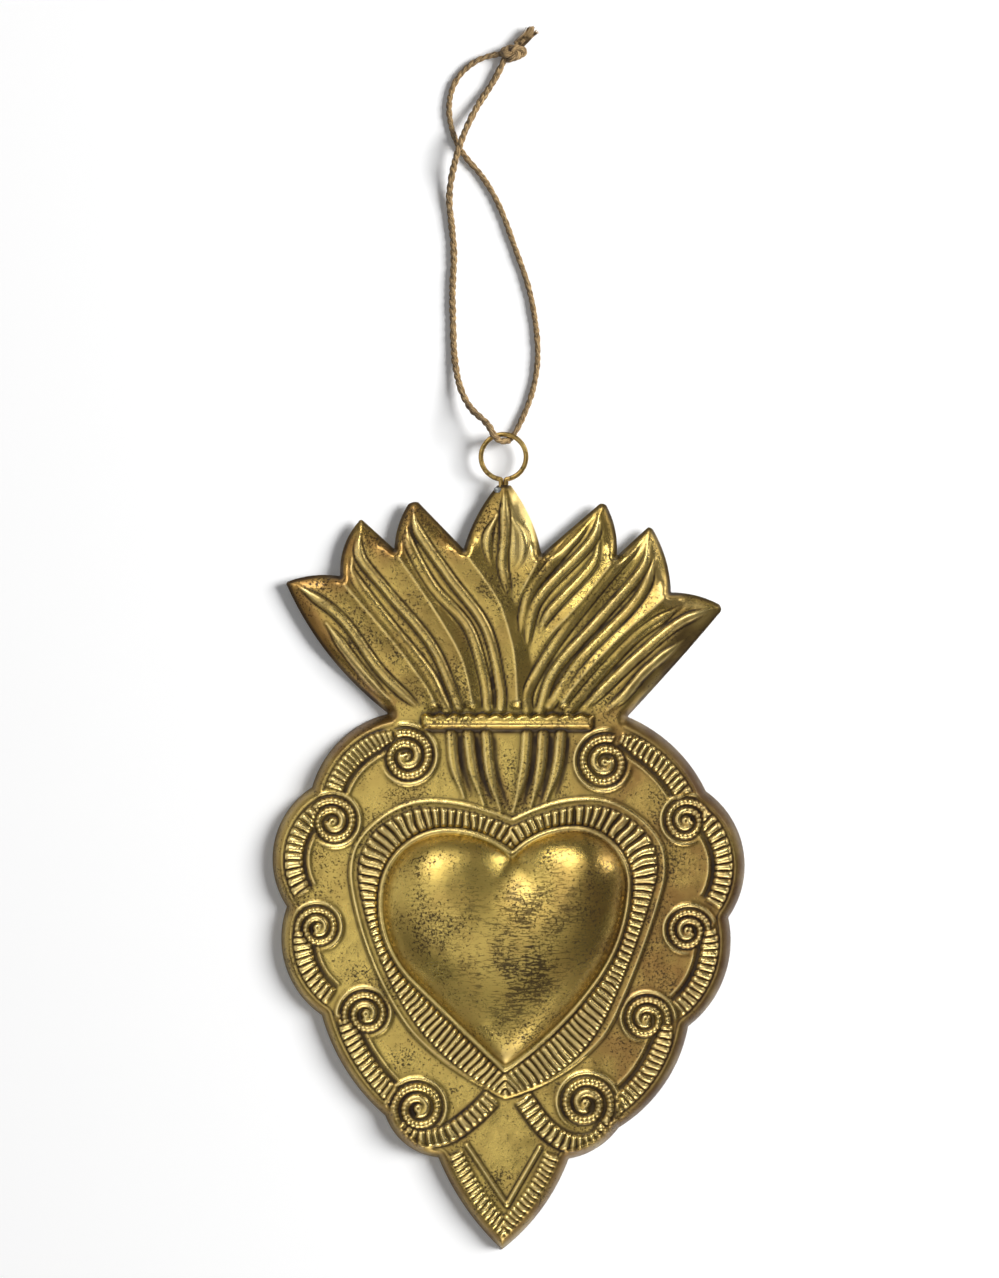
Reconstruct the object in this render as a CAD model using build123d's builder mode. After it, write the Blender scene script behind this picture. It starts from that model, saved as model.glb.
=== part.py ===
"""Pressed tin heart ornament with a soldered wire eye and a loop of twine.

It lies on its back: +Z is its front and +Y its top. The origin is on the back plane, in the middle of
the sheet and its eye. Heights named "up" are measured along Y from the sheet's bottom tip.
"""

import os
from math import atan2, cos, degrees, radians, sin, sqrt, tan

from build123d import *

# Sheet
sheet_thickness = 0.5
rim_wall = 1.0  # the rim is a folded hem, two sheets thick
field_height = 6.0  # front of the flat field above the back plane
rim_lean = 22.0  # degrees that the turned-back rim leans from upright
rim_run = field_height * tan(radians(rim_lean))  # how far the rim leans out
sheet_height = 250.0

# Half outline of the sheet, before it is drawn in by the notch radius: x, up and the bulge of the edge
# that starts there
notch_radius = 0.5
tip_draw = 0.7  # that the bottom and top tips lose when the outline is drawn in
bottom_tip = (0.0, -tip_draw, 2.4)
point_notch = (21.4, 29.5, 3.3)
foot_notch = (38.2, 40.7, 3.7)
lower_notch = (60.3, 74.4, 6.2)
side_notch = (72.3, 109.9, 8.8)
upper_notch = (64.7, 150.4, 4.2)
crown_notch = (39.4, 174.6, 1.2)
outer_flame_tip = (71.4, sheet_height - 35.7, 1.1)
outer_valley = (53.8, sheet_height - 33.0, 1.9)
middle_flame_tip = (47.2, sheet_height - 12.3, 0.0)
middle_valley = (36.3, sheet_height - 23.1, 0.8)
inner_flame_tip = (31.1, sheet_height - 5.5, 0.0)
inner_valley = (12.8, sheet_height - 22.6, 2.3)
top_flame_tip = (0.0, sheet_height + tip_draw + rim_run, 0.0)  # its rim is cut away for the wire

# Pressed relief
band_height = 1.0  # heart band and scroll ribbons above the field
lip_height = 0.5  # heart's lip above its band
ribbon_margin = 3.0  # smooth margin between the outline and a ribbon
ribbon_width = 5.5
ribbon_end_gap = 4.5  # between a ribbon's end and its notch or tip

# Scrolls: direction of each centre from its notch, in degrees
scroll_reach = 13.0
scroll_radius = 8.1
coil_width = 1.6
coil_height = 1.5
coil_pitch = 3.4
coil_turns = 1.6
coil_facets = 10  # in one turn
coil_button_radius = 1.4
coil_button_sides = 6
crown_scroll_angle = -115.0
upper_scroll_angle = -123.0
side_scroll_angle = -159.0
lower_scroll_angle = 172.0
foot_scroll_angle = 144.0
foot_ribbon_low = (22.0, 36.6)
foot_ribbon_end = (5.7, 49.4)

# Heart dome
dome_height = 12.0
dome_round = 17.0  # how far in from its foot the dome is rounded over
dome_steps = 4
dome_last_step = 80.0  # degrees up the rounded profile where the flat top begins
dome_wall = 0.9  # measured level, at the steep foot
dome_notch_up = 128.7
dome_tip_up = dome_notch_up - 69.5
lobe_top = (20.0, dome_notch_up + 8.3)
heart_side = (40.0, dome_notch_up - 10.4)
heart_flank = (30.2, dome_notch_up - 40.3)
heart_band_width = 9.5
heart_lip_width = 1.3

# Bar and flutes under the crown
bar_half_length = 26.3
bar_low_up = 169.7
bar_width = 5.9
bar_height = 2.2
ridge_height = 1.3
ridge_lean = 50.0  # degrees that a ridge's sides lean from upright
flute_width = 4.4
flute_tops = (6.6, 12.6, 18.4)
flute_feet = ((1.9, dome_notch_up + 15.8), (7.3, dome_notch_up + 18.3), (13.8, dome_notch_up + 20.3))
flute_bow = -1.2

# Flame ridges from left to right: x of the foot and its rise above the foot of the flames, x of the tip
# and its drop below the top of the sheet, and the bow to the right
ridge_width = 4.2
flame_foot_up = 176.5
flame_ridges = (
    (-34.0, 1.5, -57.5, 46.5, -0.6),
    (-24.9, 0.0, -65.0, 38.0, 1.5),
    (-21.3, 0.0, -50.5, 37.0, 1.8),
    (-18.4, 0.0, -48.5, 25.5, -1.0),
    (-14.5, 0.0, -46.0, 19.5, -1.5),
    (-10.9, 0.0, -33.5, 28.0, 4.6),
    (-5.0, 0.0, -29.9, 13.5, 2.0),
    (-0.8, 0.0, -26.5, 17.0, 4.5),
    (4.0, 0.0, -10.6, 28.0, 5.2),
    (4.0, 27.5, 10.4, 28.0, -0.5),
    (5.7, 20.5, 25.5, 16.5, -5.0),
    (7.6, 15.5, 30.0, 13.5, -2.5),
    (10.6, 21.5, 31.4, 20.5, 1.0),
    (8.0, 13.5, 33.3, 28.0, -0.8),
    (7.6, 0.0, 44.0, 20.5, -4.0),
    (11.9, 0.0, 47.3, 22.0, -1.0),
    (15.0, 0.0, 48.8, 29.5, 1.0),
    (17.7, 0.0, 50.3, 38.4, -2.0),
    (20.9, 0.0, 56.0, 40.5, -2.0),
    (24.2, 0.0, 63.5, 40.0, -2.0),
    (30.1, 0.5, 57.5, 46.5, 0.0),
)
top_flame_rib = ((0.0, sheet_height - 44.0), (0.0, sheet_height - 8.0), 0.0)
top_flame_leaf = ((2.6, sheet_height - 31.0), (2.6, sheet_height - 11.0), 3.2)

# Hanging eye
wire_diameter = 1.6
wire_sides = 6
eye_outer_diameter = 16.3
eye_neck_radius = 2.0
eye_rise = 17.2  # top of the ring above the top flame's tip
shank_end = 1.2  # wire that shows below the solder
shank_gap = 0.1
solder_film = 0.1  # between the wire ends and the back of the field
slot_clearance = 0.2
slot_depth = 8.0

# Solder behind the top flame
solder_length = 8.0
solder_width = 5.6
solder_depth = 2.6
solder_corner = 1.8
solder_start = 7.0  # below the top flame's tip

# Twine
twine_diameter = 1.9
twine_sides = 6
corner_share = 0.45  # of the shorter run, taken up by the arc at a corner
knot_length = 8.4
knot_diameter = 4.6
knot_chamfer = 1.1
knot_sides = 8
knot_x = 3.0
knot_up = 390.9
knot_turn = 10.0  # degrees
tail_length = 10.0  # from the middle of the knot
tail_turn = 45.0  # degrees
tail_step = 2.2

bottom_y = -(sheet_height + eye_rise) / 2
wire_radius = wire_diameter / 2
eye_radius = eye_outer_diameter / 2 - wire_radius
eye_up = sheet_height + eye_rise - eye_outer_diameter / 2
eye_level = field_height - sheet_thickness - solder_film - wire_radius
twine_radius = twine_diameter / 2

# Route of the twine: x, up and height of each point, from the ring to the knot
bight = (1.5, 264.3, 3.2)
left_route = (
    bight,
    (0.2, 263.2, 5.0),
    (-2.6, 265.5, 7.8),
    (-5.6, 269.6, 7.4),
    (-10.9, 274.4, 5.2),
    (-14.5, 281.9, 2.6),
    (-16.2, 291.7, 1.2),
    (-16.5, 302.8, 1.0),
    (-16.8, 313.8, 1.0),
    (-16.0, 324.9, 1.0),
    (-16.9, 334.6, 1.0),
    (-18.1, 344.4, 1.6),
    (-15.9, 355.5, 4.8),
    (-12.9, 364.6, 4.8),
    (-8.6, 373.7, 2.2),
    (-4.7, 379.5, 1.2),
    (-1.5, 384.8, 1.5),
    (0.8, 390.0, 2.0),
)
right_route = (
    bight,
    (2.8, 265.4, 1.4),
    (5.2, 269.4, 1.3),
    (9.3, 279.0, 1.0),
    (11.4, 289.7, 1.0),
    (10.9, 300.8, 1.0),
    (8.5, 314.5, 1.0),
    (3.7, 327.5, 1.0),
    (-0.8, 340.5, 1.0),
    (-6.7, 350.9, 1.0),
    (-13.2, 357.7, 1.0),
    (-16.9, 365.2, 1.0),
    (-18.2, 374.0, 1.0),
    (-16.1, 382.1, 1.0),
    (-10.3, 388.0, 1.2),
    (-4.4, 390.3, 1.8),
    (0.8, 390.9, 2.2),
)


def level(height):
    """Drawing plane at a height above the back, with its origin over the sheet's bottom tip."""
    return Plane(origin=(0, bottom_y, height))


def bulged_edge(start, end, bulge):
    """Edge from start to end, bowed to its right by the bulge, or straight."""
    a = Vector(*start)
    b = Vector(*end)
    if bulge == 0:
        return Line(a, b)
    along = (b - a).normalized()
    return ThreePointArc(a, (a + b) / 2 + Vector(along.Y, -along.X) * bulge, b)


def sheet_outline(inset=0.0):
    """Face inside the sheet's outline, or inside an inset from it: lobes, flames and a point below."""
    points = (
        bottom_tip, point_notch, foot_notch, lower_notch, side_notch, upper_notch, crown_notch,
        outer_flame_tip, outer_valley, middle_flame_tip, middle_valley, inner_flame_tip,
        inner_valley, top_flame_tip,
    )
    with BuildSketch() as outline:
        with BuildLine():
            for here, following in zip(points, points[1:]):
                bulged_edge(here[:2], following[:2], here[2])
            mirror(about=Plane.YZ)
        make_face()
        offset(amount=-notch_radius - inset, kind=Kind.ARC)
    return outline.sketch


def heart(growth=0.0):
    """Heart face with its arcs parallel to the dome's foot, grown outwards or, below 0, drawn in."""
    with BuildLine() as foot:
        inner = TangentArc(lobe_top, (0, dome_notch_up), tangent=(-1, 0))
        side = TangentArc(lobe_top, heart_side, tangent=(1, 0))
        flank = TangentArc(heart_side, heart_flank, tangent=side % 1)
        low = TangentArc(heart_flank, (0, dome_tip_up), tangent=flank % 1)

    def moved(arc, share):
        tangent = arc % share
        return arc @ share + Vector(-tangent.Y, tangent.X) * growth

    notch_rise = sqrt((inner.radius + growth) ** 2 - inner.arc_center.X**2)
    tip_drop = sqrt((low.radius + growth) ** 2 - low.arc_center.X**2)
    with BuildSketch() as face:
        with BuildLine():
            TangentArc(moved(side, 0), (0, inner.arc_center.Y + notch_rise), tangent=(-1, 0))
            TangentArc(moved(side, 0), moved(side, 1), tangent=(1, 0))
            TangentArc(moved(flank, 0), moved(flank, 1), tangent=flank % 0)
            TangentArc(moved(low, 0), (0, low.arc_center.Y - tip_drop), tangent=low % 0)
            mirror(about=Plane.YZ)
        make_face()
    return face.sketch


def lobe_circle(lower, upper):
    """Centre, radius, and start and end angles of the lobe's arc between two notches."""
    a = Vector(*lower[:2])
    b = Vector(*upper[:2])
    bulge = lower[2]
    half_chord = (b - a).length / 2
    radius = (half_chord**2 + bulge**2) / (2 * bulge)
    along = (b - a).normalized()
    centre = (a + b) / 2 - Vector(along.Y, -along.X) * (radius - bulge)
    angles = [degrees(atan2(p.Y - centre.Y, p.X - centre.X)) for p in (a, b)]
    return centre, radius, angles[0], angles[1]


def scroll_centre(notch, angle):
    """Middle of the scroll that curls in at a notch."""
    x, up = notch[:2]
    return (x + scroll_reach * cos(radians(angle)), up + scroll_reach * sin(radians(angle)))


lobes = (
    (upper_notch, crown_notch),
    (side_notch, upper_notch),
    (lower_notch, side_notch),
    (foot_notch, lower_notch),
)
scrolls = (
    (scroll_centre(crown_notch, crown_scroll_angle), crown_scroll_angle),
    (scroll_centre(upper_notch, upper_scroll_angle), upper_scroll_angle),
    (scroll_centre(side_notch, side_scroll_angle), side_scroll_angle),
    (scroll_centre(lower_notch, lower_scroll_angle), lower_scroll_angle),
    (scroll_centre(foot_notch, foot_scroll_angle), foot_scroll_angle),
)


def ribbon_lines():
    """Middle line of each ribbon on the right-hand side, as arcs inside the outline."""
    inset = ribbon_margin + ribbon_width / 2
    lines = []
    for lower, upper in lobes:
        centre, radius, start, end = lobe_circle(lower, upper)
        trim = degrees(ribbon_end_gap / radius)
        lines.append(CenterArc(centre, radius - inset, start + trim, end - start - 2 * trim))
    foot_x, foot_up = scrolls[-1][0]
    foot_start = (foot_x + scroll_radius - ribbon_width / 2, foot_up)
    lines.append(ThreePointArc(foot_start, foot_ribbon_low, foot_ribbon_end))
    centre, radius, start, end = lobe_circle(bottom_tip, point_notch)
    low_trim = degrees((ribbon_end_gap + inset) / radius)
    high_trim = degrees(ribbon_end_gap / radius)
    lines.append(CenterArc(centre, radius - inset, start + low_trim, end - start - low_trim - high_trim))
    return lines


def coil():
    """Spiral band whose radius shrinks evenly with its angle, around a button."""
    steps = round(coil_turns * coil_facets)
    outer = []
    inner = []
    for index in range(steps + 1):
        angle = radians(360 * index / coil_facets)
        radius = scroll_radius - coil_pitch * index / coil_facets
        outer.append((radius * cos(angle), radius * sin(angle)))
        inner.append(((radius - coil_width) * cos(angle), (radius - coil_width) * sin(angle)))
    with BuildSketch() as face:
        with BuildLine():
            Polyline(*outer, *reversed(inner), close=True)
        make_face()
        RegularPolygon(coil_button_radius, coil_button_sides)
    return face.sketch


def ridge_leaf(foot, tip, bow, width):
    """Leaf face from foot to tip, as wide as given in its middle and bowed to its right."""
    a = Vector(*foot)
    b = Vector(*tip)
    along = (b - a).normalized()
    right = Vector(along.Y, -along.X)
    middle = (a + b) / 2 + right * bow
    with BuildSketch() as face:
        with BuildLine():
            ThreePointArc(a, middle + right * (width / 2), b)
            ThreePointArc(b, middle - right * (width / 2), a)
        make_face()
    return face.sketch


def raised_bands():
    """Plan of all that is pressed up flat: the heart with its band, and the ribbons."""
    with BuildSketch() as plan:
        add(heart(heart_band_width))
        for line in ribbon_lines():
            trace(line, ribbon_width)
        mirror(about=Plane.YZ)
    return plan.sketch


def coils():
    """Plan of the coils of all the scrolls."""
    with BuildSketch() as plan:
        for centre, angle in scrolls:
            with Locations(Location(centre, angle)):
                add(coil())
        mirror(about=Plane.YZ)
    return plan.sketch


def heart_lip():
    """Plan of the lip along the outer edge of the heart's band."""
    with BuildSketch() as plan:
        add(heart(heart_band_width))
        add(heart(heart_band_width - heart_lip_width), mode=Mode.SUBTRACT)
    return plan.sketch


def ridge(foot, tip, bow, width):
    """Ridge on the field, with leaning sides that close in towards both its ends."""
    with BuildPart() as solid:
        with BuildSketch(level(field_height)):
            add(ridge_leaf(foot, tip, bow, width))
        extrude(amount=ridge_height, taper=ridge_lean)
    return solid.part


def all_ridges():
    """Ridges of the flames, the leaves and rib of the top flame, and the flutes under the bar."""
    flames = [ridge(*top_flame_rib, ridge_width)]
    for foot_x, rise, tip_x, drop, bow in flame_ridges:
        foot = (foot_x, flame_foot_up + rise)
        tip = (tip_x, sheet_height - drop)
        flames.append(ridge(foot, tip, bow, ridge_width))
    paired = [ridge(*top_flame_leaf, ridge_width)]
    for top, foot in zip(flute_tops, flute_feet):
        paired.append(ridge((top, bar_low_up), foot, flute_bow, flute_width))
    return [*flames, *paired, *[solid.mirror(Plane.YZ) for solid in paired]]


def heart_dome(inset, base):
    """Dome on the heart drawn in by an inset, in steps that lean over more and more as on an ellipse."""
    with BuildPart() as dome:
        with BuildSketch(level(base)):
            add(heart(notch_radius - inset))
            offset(amount=-notch_radius, kind=Kind.ARC)
        foot = dome.pending_faces[0]
        dome.pending_faces.clear()
        for step in range(dome_steps):
            low = radians(dome_last_step * step / dome_steps)
            high = radians(dome_last_step * (step + 1) / dome_steps)
            rise = dome_height * (sin(high) - sin(low))
            run = dome_round * (cos(low) - cos(high))
            extrude(foot, amount=rise, taper=degrees(atan2(run, rise)))
            foot = dome.faces().sort_by(Axis.Z)[-1]
    return dome.part


with BuildPart() as tin_sheet:
    with BuildSketch(level(0)):
        add(sheet_outline())
    extrude(amount=field_height, taper=rim_lean)
    with BuildSketch(level(field_height)):
        add(raised_bands())
    extrude(amount=band_height)
    add(heart_dome(0, field_height + band_height))
    add(all_ridges())
    with BuildSketch(level(field_height)):
        with Locations((0, bar_low_up + bar_width / 2)):
            Rectangle(2 * bar_half_length, bar_width)
    extrude(amount=bar_height)
    # The back is open: the pan, the heart and its dome are hollow, one sheet thickness behind the front
    with BuildSketch(level(0)):
        add(sheet_outline(rim_wall))
    extrude(amount=field_height - sheet_thickness, taper=rim_lean, mode=Mode.SUBTRACT)
    with BuildSketch(level(field_height - sheet_thickness)):
        add(heart(heart_band_width - sheet_thickness))
    extrude(amount=band_height, mode=Mode.SUBTRACT)
    add(heart_dome(dome_wall, field_height + band_height - sheet_thickness), mode=Mode.SUBTRACT)
    # Way for the wire ends through the rim of the top flame
    with BuildSketch(level(0)):
        with Locations((0, sheet_height)):
            Rectangle(2 * wire_diameter + shank_gap + 2 * slot_clearance, 2 * slot_depth)
    extrude(amount=field_height - sheet_thickness, mode=Mode.SUBTRACT)
    # Coils of the scrolls and the lip of the heart's band
    with BuildSketch(level(field_height)):
        add(coils())
    extrude(amount=coil_height)
    with BuildSketch(level(field_height + band_height)):
        add(heart_lip())
    extrude(amount=lip_height)

with BuildPart() as hanging_eye:
    shank_x = wire_radius + shank_gap / 2
    neck_x = shank_x + eye_neck_radius
    neck_drop = sqrt((eye_radius + eye_neck_radius) ** 2 - neck_x**2)
    neck_angle = degrees(atan2(neck_drop, neck_x))
    shank_length = eye_up - neck_drop - (sheet_height - solder_start - solder_length - shank_end)
    ring_axis = Axis((0, bottom_y + eye_up, eye_level), (0, 0, 1))
    neck_axis = Axis((neck_x, bottom_y + eye_up - neck_drop, eye_level), (0, 0, -1))
    with BuildSketch(Plane(origin=(shank_x, neck_axis.position.Y, eye_level), z_dir=(0, -1, 0))) as wire:
        RegularPolygon(wire_radius, wire_sides)
    extrude(amount=shank_length)
    revolve(wire.sketch, axis=neck_axis, revolution_arc=neck_angle)
    ring_end = hanging_eye.faces().sort_by(Axis.Y)[-1]
    revolve(ring_end, axis=ring_axis, revolution_arc=90 + neck_angle)
    mirror(about=Plane.YZ)

with BuildPart() as solder_joint:
    with BuildSketch(level(field_height - sheet_thickness)) as solder_seat:
        with Locations((0, sheet_height - solder_start - solder_length / 2)):
            Rectangle(solder_width, solder_length)
        chamfer(solder_seat.vertices(), solder_corner)
    extrude(amount=-solder_depth)
    chamfer(solder_joint.faces().sort_by(Axis.Z)[0].edges(), solder_corner / 2)
    add(hanging_eye.part, mode=Mode.SUBTRACT)

with BuildPart() as twine_knot:
    knot_centre = Vector(knot_x, bottom_y + knot_up, knot_diameter / 2)
    knot_axis = Vector(cos(radians(knot_turn)), sin(radians(knot_turn)), 0)
    with BuildSketch(Plane(origin=knot_centre, z_dir=knot_axis)):
        RegularPolygon(knot_diameter / 2, knot_sides)
    extrude(amount=knot_length / 2, both=True)
    ends = twine_knot.faces().sort_by(Axis(knot_centre, knot_axis))
    chamfer([*ends[0].edges(), *ends[-1].edges()], knot_chamfer)


def strand_path(route):
    """Points of a route in the frame, and the radius of the arc at each of its corners."""
    points = [Vector(x, bottom_y + up, height) for x, up, height in route]
    radii = []
    for before, here, after in zip(points, points[1:], points[2:]):
        shorter = min((here - before).length, (after - here).length)
        turn = radians((here - before).get_angle(after - here))
        radii.append(corner_share * shorter / tan(turn / 2))
    print("corner radii", " ".join(f"{radius:.1f}" for radius in radii))
    return points, radii


def report_tube(side, volume, length):
    """Prints a tube's length, and its volume as a share of its section times that length."""
    section = twine_sides / 2 * twine_radius**2 * sin(radians(360 / twine_sides))
    print(f"{side} strand {length:.1f} mm, volume share {volume / (section * length):.4f}")


with BuildPart() as twine_left_strand:
    points, radii = strand_path(left_route)
    with BuildLine() as left_path:
        FilletPolyline(*points, radius=radii)
    with BuildSketch(Plane(origin=left_path.line @ 0, z_dir=left_path.line % 0)):
        RegularPolygon(twine_radius, twine_sides)
    sweep()
    report_tube("left", twine_left_strand.part.volume, left_path.wire().length)
    add(twine_knot.part, mode=Mode.SUBTRACT)

with BuildPart() as twine_right_strand:
    points, radii = strand_path(right_route)
    with BuildLine() as right_path:
        FilletPolyline(*points, radius=radii)
    with BuildSketch(Plane(origin=right_path.line @ 0, z_dir=right_path.line % 0)):
        RegularPolygon(twine_radius, twine_sides)
    sweep()
    report_tube("right", twine_right_strand.part.volume, right_path.wire().length)
    add(twine_knot.part, mode=Mode.SUBTRACT)

with BuildPart() as twine_tails:
    tail_direction = Vector(cos(radians(tail_turn)), sin(radians(tail_turn)), 0)
    with BuildSketch(Plane(origin=knot_centre, z_dir=tail_direction)):
        with GridLocations(tail_step, tail_step, 2, 1):
            RegularPolygon(twine_radius, twine_sides)
    extrude(amount=tail_length)
    add(twine_knot.part, mode=Mode.SUBTRACT)

os.makedirs("parts", exist_ok=True)
pieces = {
    "tin_sheet": tin_sheet,
    "hanging_eye": hanging_eye,
    "solder_joint": solder_joint,
    "twine_left_strand": twine_left_strand,
    "twine_right_strand": twine_right_strand,
    "twine_knot": twine_knot,
    "twine_tails": twine_tails,
}
for name, piece in pieces.items():
    piece.part.label = name
    export_step(piece.part, f"parts/{name}.step")
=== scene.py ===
"""Dress of a pressed tin heart: relief sheet, wire eye, solder, jute twine, floor, lights and camera."""

import math

import bpy
import numpy as np
from bpy.props import FloatProperty, FloatVectorProperty, IntProperty, PointerProperty
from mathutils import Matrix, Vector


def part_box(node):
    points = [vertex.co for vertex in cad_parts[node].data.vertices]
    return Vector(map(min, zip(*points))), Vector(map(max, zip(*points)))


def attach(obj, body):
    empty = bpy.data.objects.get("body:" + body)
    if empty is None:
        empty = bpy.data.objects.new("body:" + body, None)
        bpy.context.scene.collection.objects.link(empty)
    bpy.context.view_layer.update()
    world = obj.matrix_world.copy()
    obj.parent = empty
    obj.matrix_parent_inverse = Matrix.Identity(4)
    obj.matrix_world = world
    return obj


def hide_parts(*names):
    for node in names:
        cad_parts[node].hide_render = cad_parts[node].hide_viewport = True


bl_info = {
    "name": "Pressed tin heart",
    "version": (1, 0, 0),
    "blender": (4, 5, 0),
    "location": "View3D > Sidebar > Tin heart",
    "description": "Builds the relief sheet, eye, solder and twine of a pressed tin heart ornament",
    "category": "Add Mesh",
}

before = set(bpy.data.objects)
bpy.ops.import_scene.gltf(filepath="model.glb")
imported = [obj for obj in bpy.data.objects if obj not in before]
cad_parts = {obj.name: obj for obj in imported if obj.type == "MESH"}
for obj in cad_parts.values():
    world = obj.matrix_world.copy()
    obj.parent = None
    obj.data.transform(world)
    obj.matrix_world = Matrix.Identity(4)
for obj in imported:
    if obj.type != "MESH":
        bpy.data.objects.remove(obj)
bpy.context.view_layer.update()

MM = 0.001
# The lowest point of the sheet along Y of the frame, in millimetres. "Up" below is measured from it.
SHEET_FOOT = -133.6
FAR = 99.0
LEAST_BOW = 0.01
# The grid over the sheet: half of its width, and its lowest and highest row.
GRID_HALF, GRID_UP = 80.0, (-2.0, 252.0)
# Points on each arc of the sheet's outline and of a heart's, and for each point of a drawn line.
OUTLINE_POINTS, HEART_POINTS, LINE_POINTS = 40, 24, 12
# The sheet is cut into its meshes this far outside the heart's band, and along this middle line.
CUT_OUTSIDE, CUT_MIDDLE = 2.6, 0.5

# The sheet's edge, anticlockwise from the bottom tip: x, up, and how far the edge to the next point bows out.
SHEET_EDGE = (
    (-0.5, 0.0, 2.6), (21.3, 29.7, 1.9), (37.6, 39.8, 4.3), (60.4, 73.0, 5.5), (73.5, 108.5, 8.7),
    (66.2, 149.8, 3.3), (40.5, 174.2, 0.3), (70.9, 208.6, 0.3), (70.3, 210.9, 1.0), (54.6, 214.8, 1.3),
    (49.0, 234.8, 0.3), (47.2, 236.1, 0.0), (36.9, 226.6, 1.2), (33.7, 242.9, 0.4), (31.4, 243.7, 0.0),
    (12.4, 227.3, 1.4), (2.4, 249.6, 0.2), (-2.1, 249.6, 1.2), (-13.0, 228.9, 0.0), (-27.8, 244.2, 0.4),
    (-31.1, 243.5, 1.0), (-35.6, 228.9, 0.0), (-45.9, 238.3, 0.4), (-47.3, 237.8, 1.9), (-53.2, 220.1, 1.1),
    (-70.2, 218.4, 0.4), (-70.6, 217.0, 3.3), (-37.6, 175.2, 4.7), (-62.6, 151.1, 8.4), (-70.8, 112.1, 6.4),
    (-59.4, 76.6, 2.9), (-38.6, 43.7, 3.2), (-21.3, 30.1, 2.0),
)
# Edges that carry a ribbed ribbon, each with the spacing of its ribs, and the two edges of the bottom point.
RIGHT_LOBES = {2: 2.2, 3: 2.3, 4: 2.5, 5: 2.1}
LEFT_LOBES = {30: 2.2, 29: 2.3, 28: 2.6, 27: 1.8}
POINT_EDGES = (0, 32)
POINT_INSET, POINT_HALF, POINT_PITCH = 5.9, 2.7, 2.1
# The two lowest lobes, the uppermost lobe at the left, and the edges below the right and left outer flames.
FOOT_EDGES = (1, 31)
TOP_LEFT_LOBE = 27
RIGHT_FLAME_FOOT, LEFT_FLAME_FOOT = 6, 26

# Edge points where two flames meet, and the level at which the flames begin.
NOTCHES = (9, 12, 15, 18, 21, 24)
CROWN_FOOT = 176.0

# Volutes: x, up, the angle at which the ribbon runs in, +1 if it winds anticlockwise, and its first radius.
VOLUTES = (
    (-31.5, 161.3, 115.0, -1, 8.0), (-55.5, 140.1, 140.0, -1, 7.3), (-60.4, 105.6, 195.0, -1, 6.6),
    (-44.7, 77.6, 200.0, -1, 7.0), (-27.7, 46.8, 217.0, -1, 8.2),
    (33.0, 159.4, 70.0, 1, 8.0), (59.4, 140.4, 25.0, 1, 6.7), (60.0, 104.6, 5.0, 1, 6.6),
    (46.4, 76.0, -12.0, 1, 7.0), (26.7, 48.5, -34.0, 1, 8.4),
)
# Ribbons of the two lowest volutes: middle line from the sheet's middle outwards, and spacing of the ribs.
FOOT_RIBBONS = (
    ((-3.0, 51.0), (-10.5, 43.8), (-19.0, 38.2), (-28.8, 37.0), (-34.6, 41.5)),
    ((5.6, 51.0), (13.5, 40.6), (21.6, 35.6), (29.8, 36.2), (34.6, 42.0)),
)
FOOT_PITCH = 2.5
# The raised vee inside the bottom point.
POINT_VEE = ((-11.9, 34.9), (1.1, 15.4), (11.9, 34.0))

# The heart's two lines, the dome's foot and the outside of the band: notch, then for the left and the
# right side the top of the lobe, the widest place and the flank, and the tip.
DOME_FOOT = ((2.9, 129.0), ((-18.1, 136.9), (-39.2, 119.0), (-29.2, 88.4)),
             ((22.8, 137.6), (40.5, 119.2), (29.9, 88.4)), (0.5, 59.7))
BAND_EDGE = ((2.9, 140.1), ((-24.0, 146.9), (-47.3, 119.4), (-34.2, 82.3)),
             ((28.2, 147.6), (49.6, 119.4), (34.5, 78.2)), (0.5, 50.6))

# The bar: its two ends, and the levels of its foot, lip, top and upper edge.
BAR_ENDS = (-26.0, 28.4)
BAR_LEVELS = (169.2, 171.7, 172.1, 174.6)
# Lines of the flames fade out where they end above this level, or further out than this.
FLAME_FOOT, OUTER_FOOT = 180.0, 22.0
FLUTES = (
    ((-17.1, 169.3), (-16.0, 158.0), (-12.5, 147.2)), ((-11.6, 169.3), (-10.0, 157.0), (-6.0, 144.6)),
    ((-5.7, 169.3), (-4.4, 156.0), (-0.5, 142.3)), ((7.6, 169.3), (6.4, 156.0), (2.8, 142.3)),
    ((12.9, 169.3), (11.9, 157.0), (8.6, 144.0)), ((18.7, 169.3), (17.4, 158.0), (13.5, 146.2)),
)
FLAME_CRESTS = (
    ((-53.2, 219.0), (-38.6, 201.9), (-30.4, 191.5), (-24.6, 183.0), (-21.3, 176.2)),
    ((-35.6, 228.5), (-21.6, 207.7), (-13.8, 193.7), (-10.3, 179.8), (-10.9, 175.5)),
    ((-13.0, 228.5), (-2.1, 213.0), (1.8, 201.9), (3.7, 193.1), (4.7, 176.2)),
    ((12.5, 227.0), (7.3, 217.8), (3.1, 208.4)),
    ((36.9, 226.4), (24.9, 211.3), (13.2, 199.0), (6.7, 189.5)),
    ((54.5, 214.5), (38.9, 201.2), (24.9, 186.6), (17.7, 176.2)),
)
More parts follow.
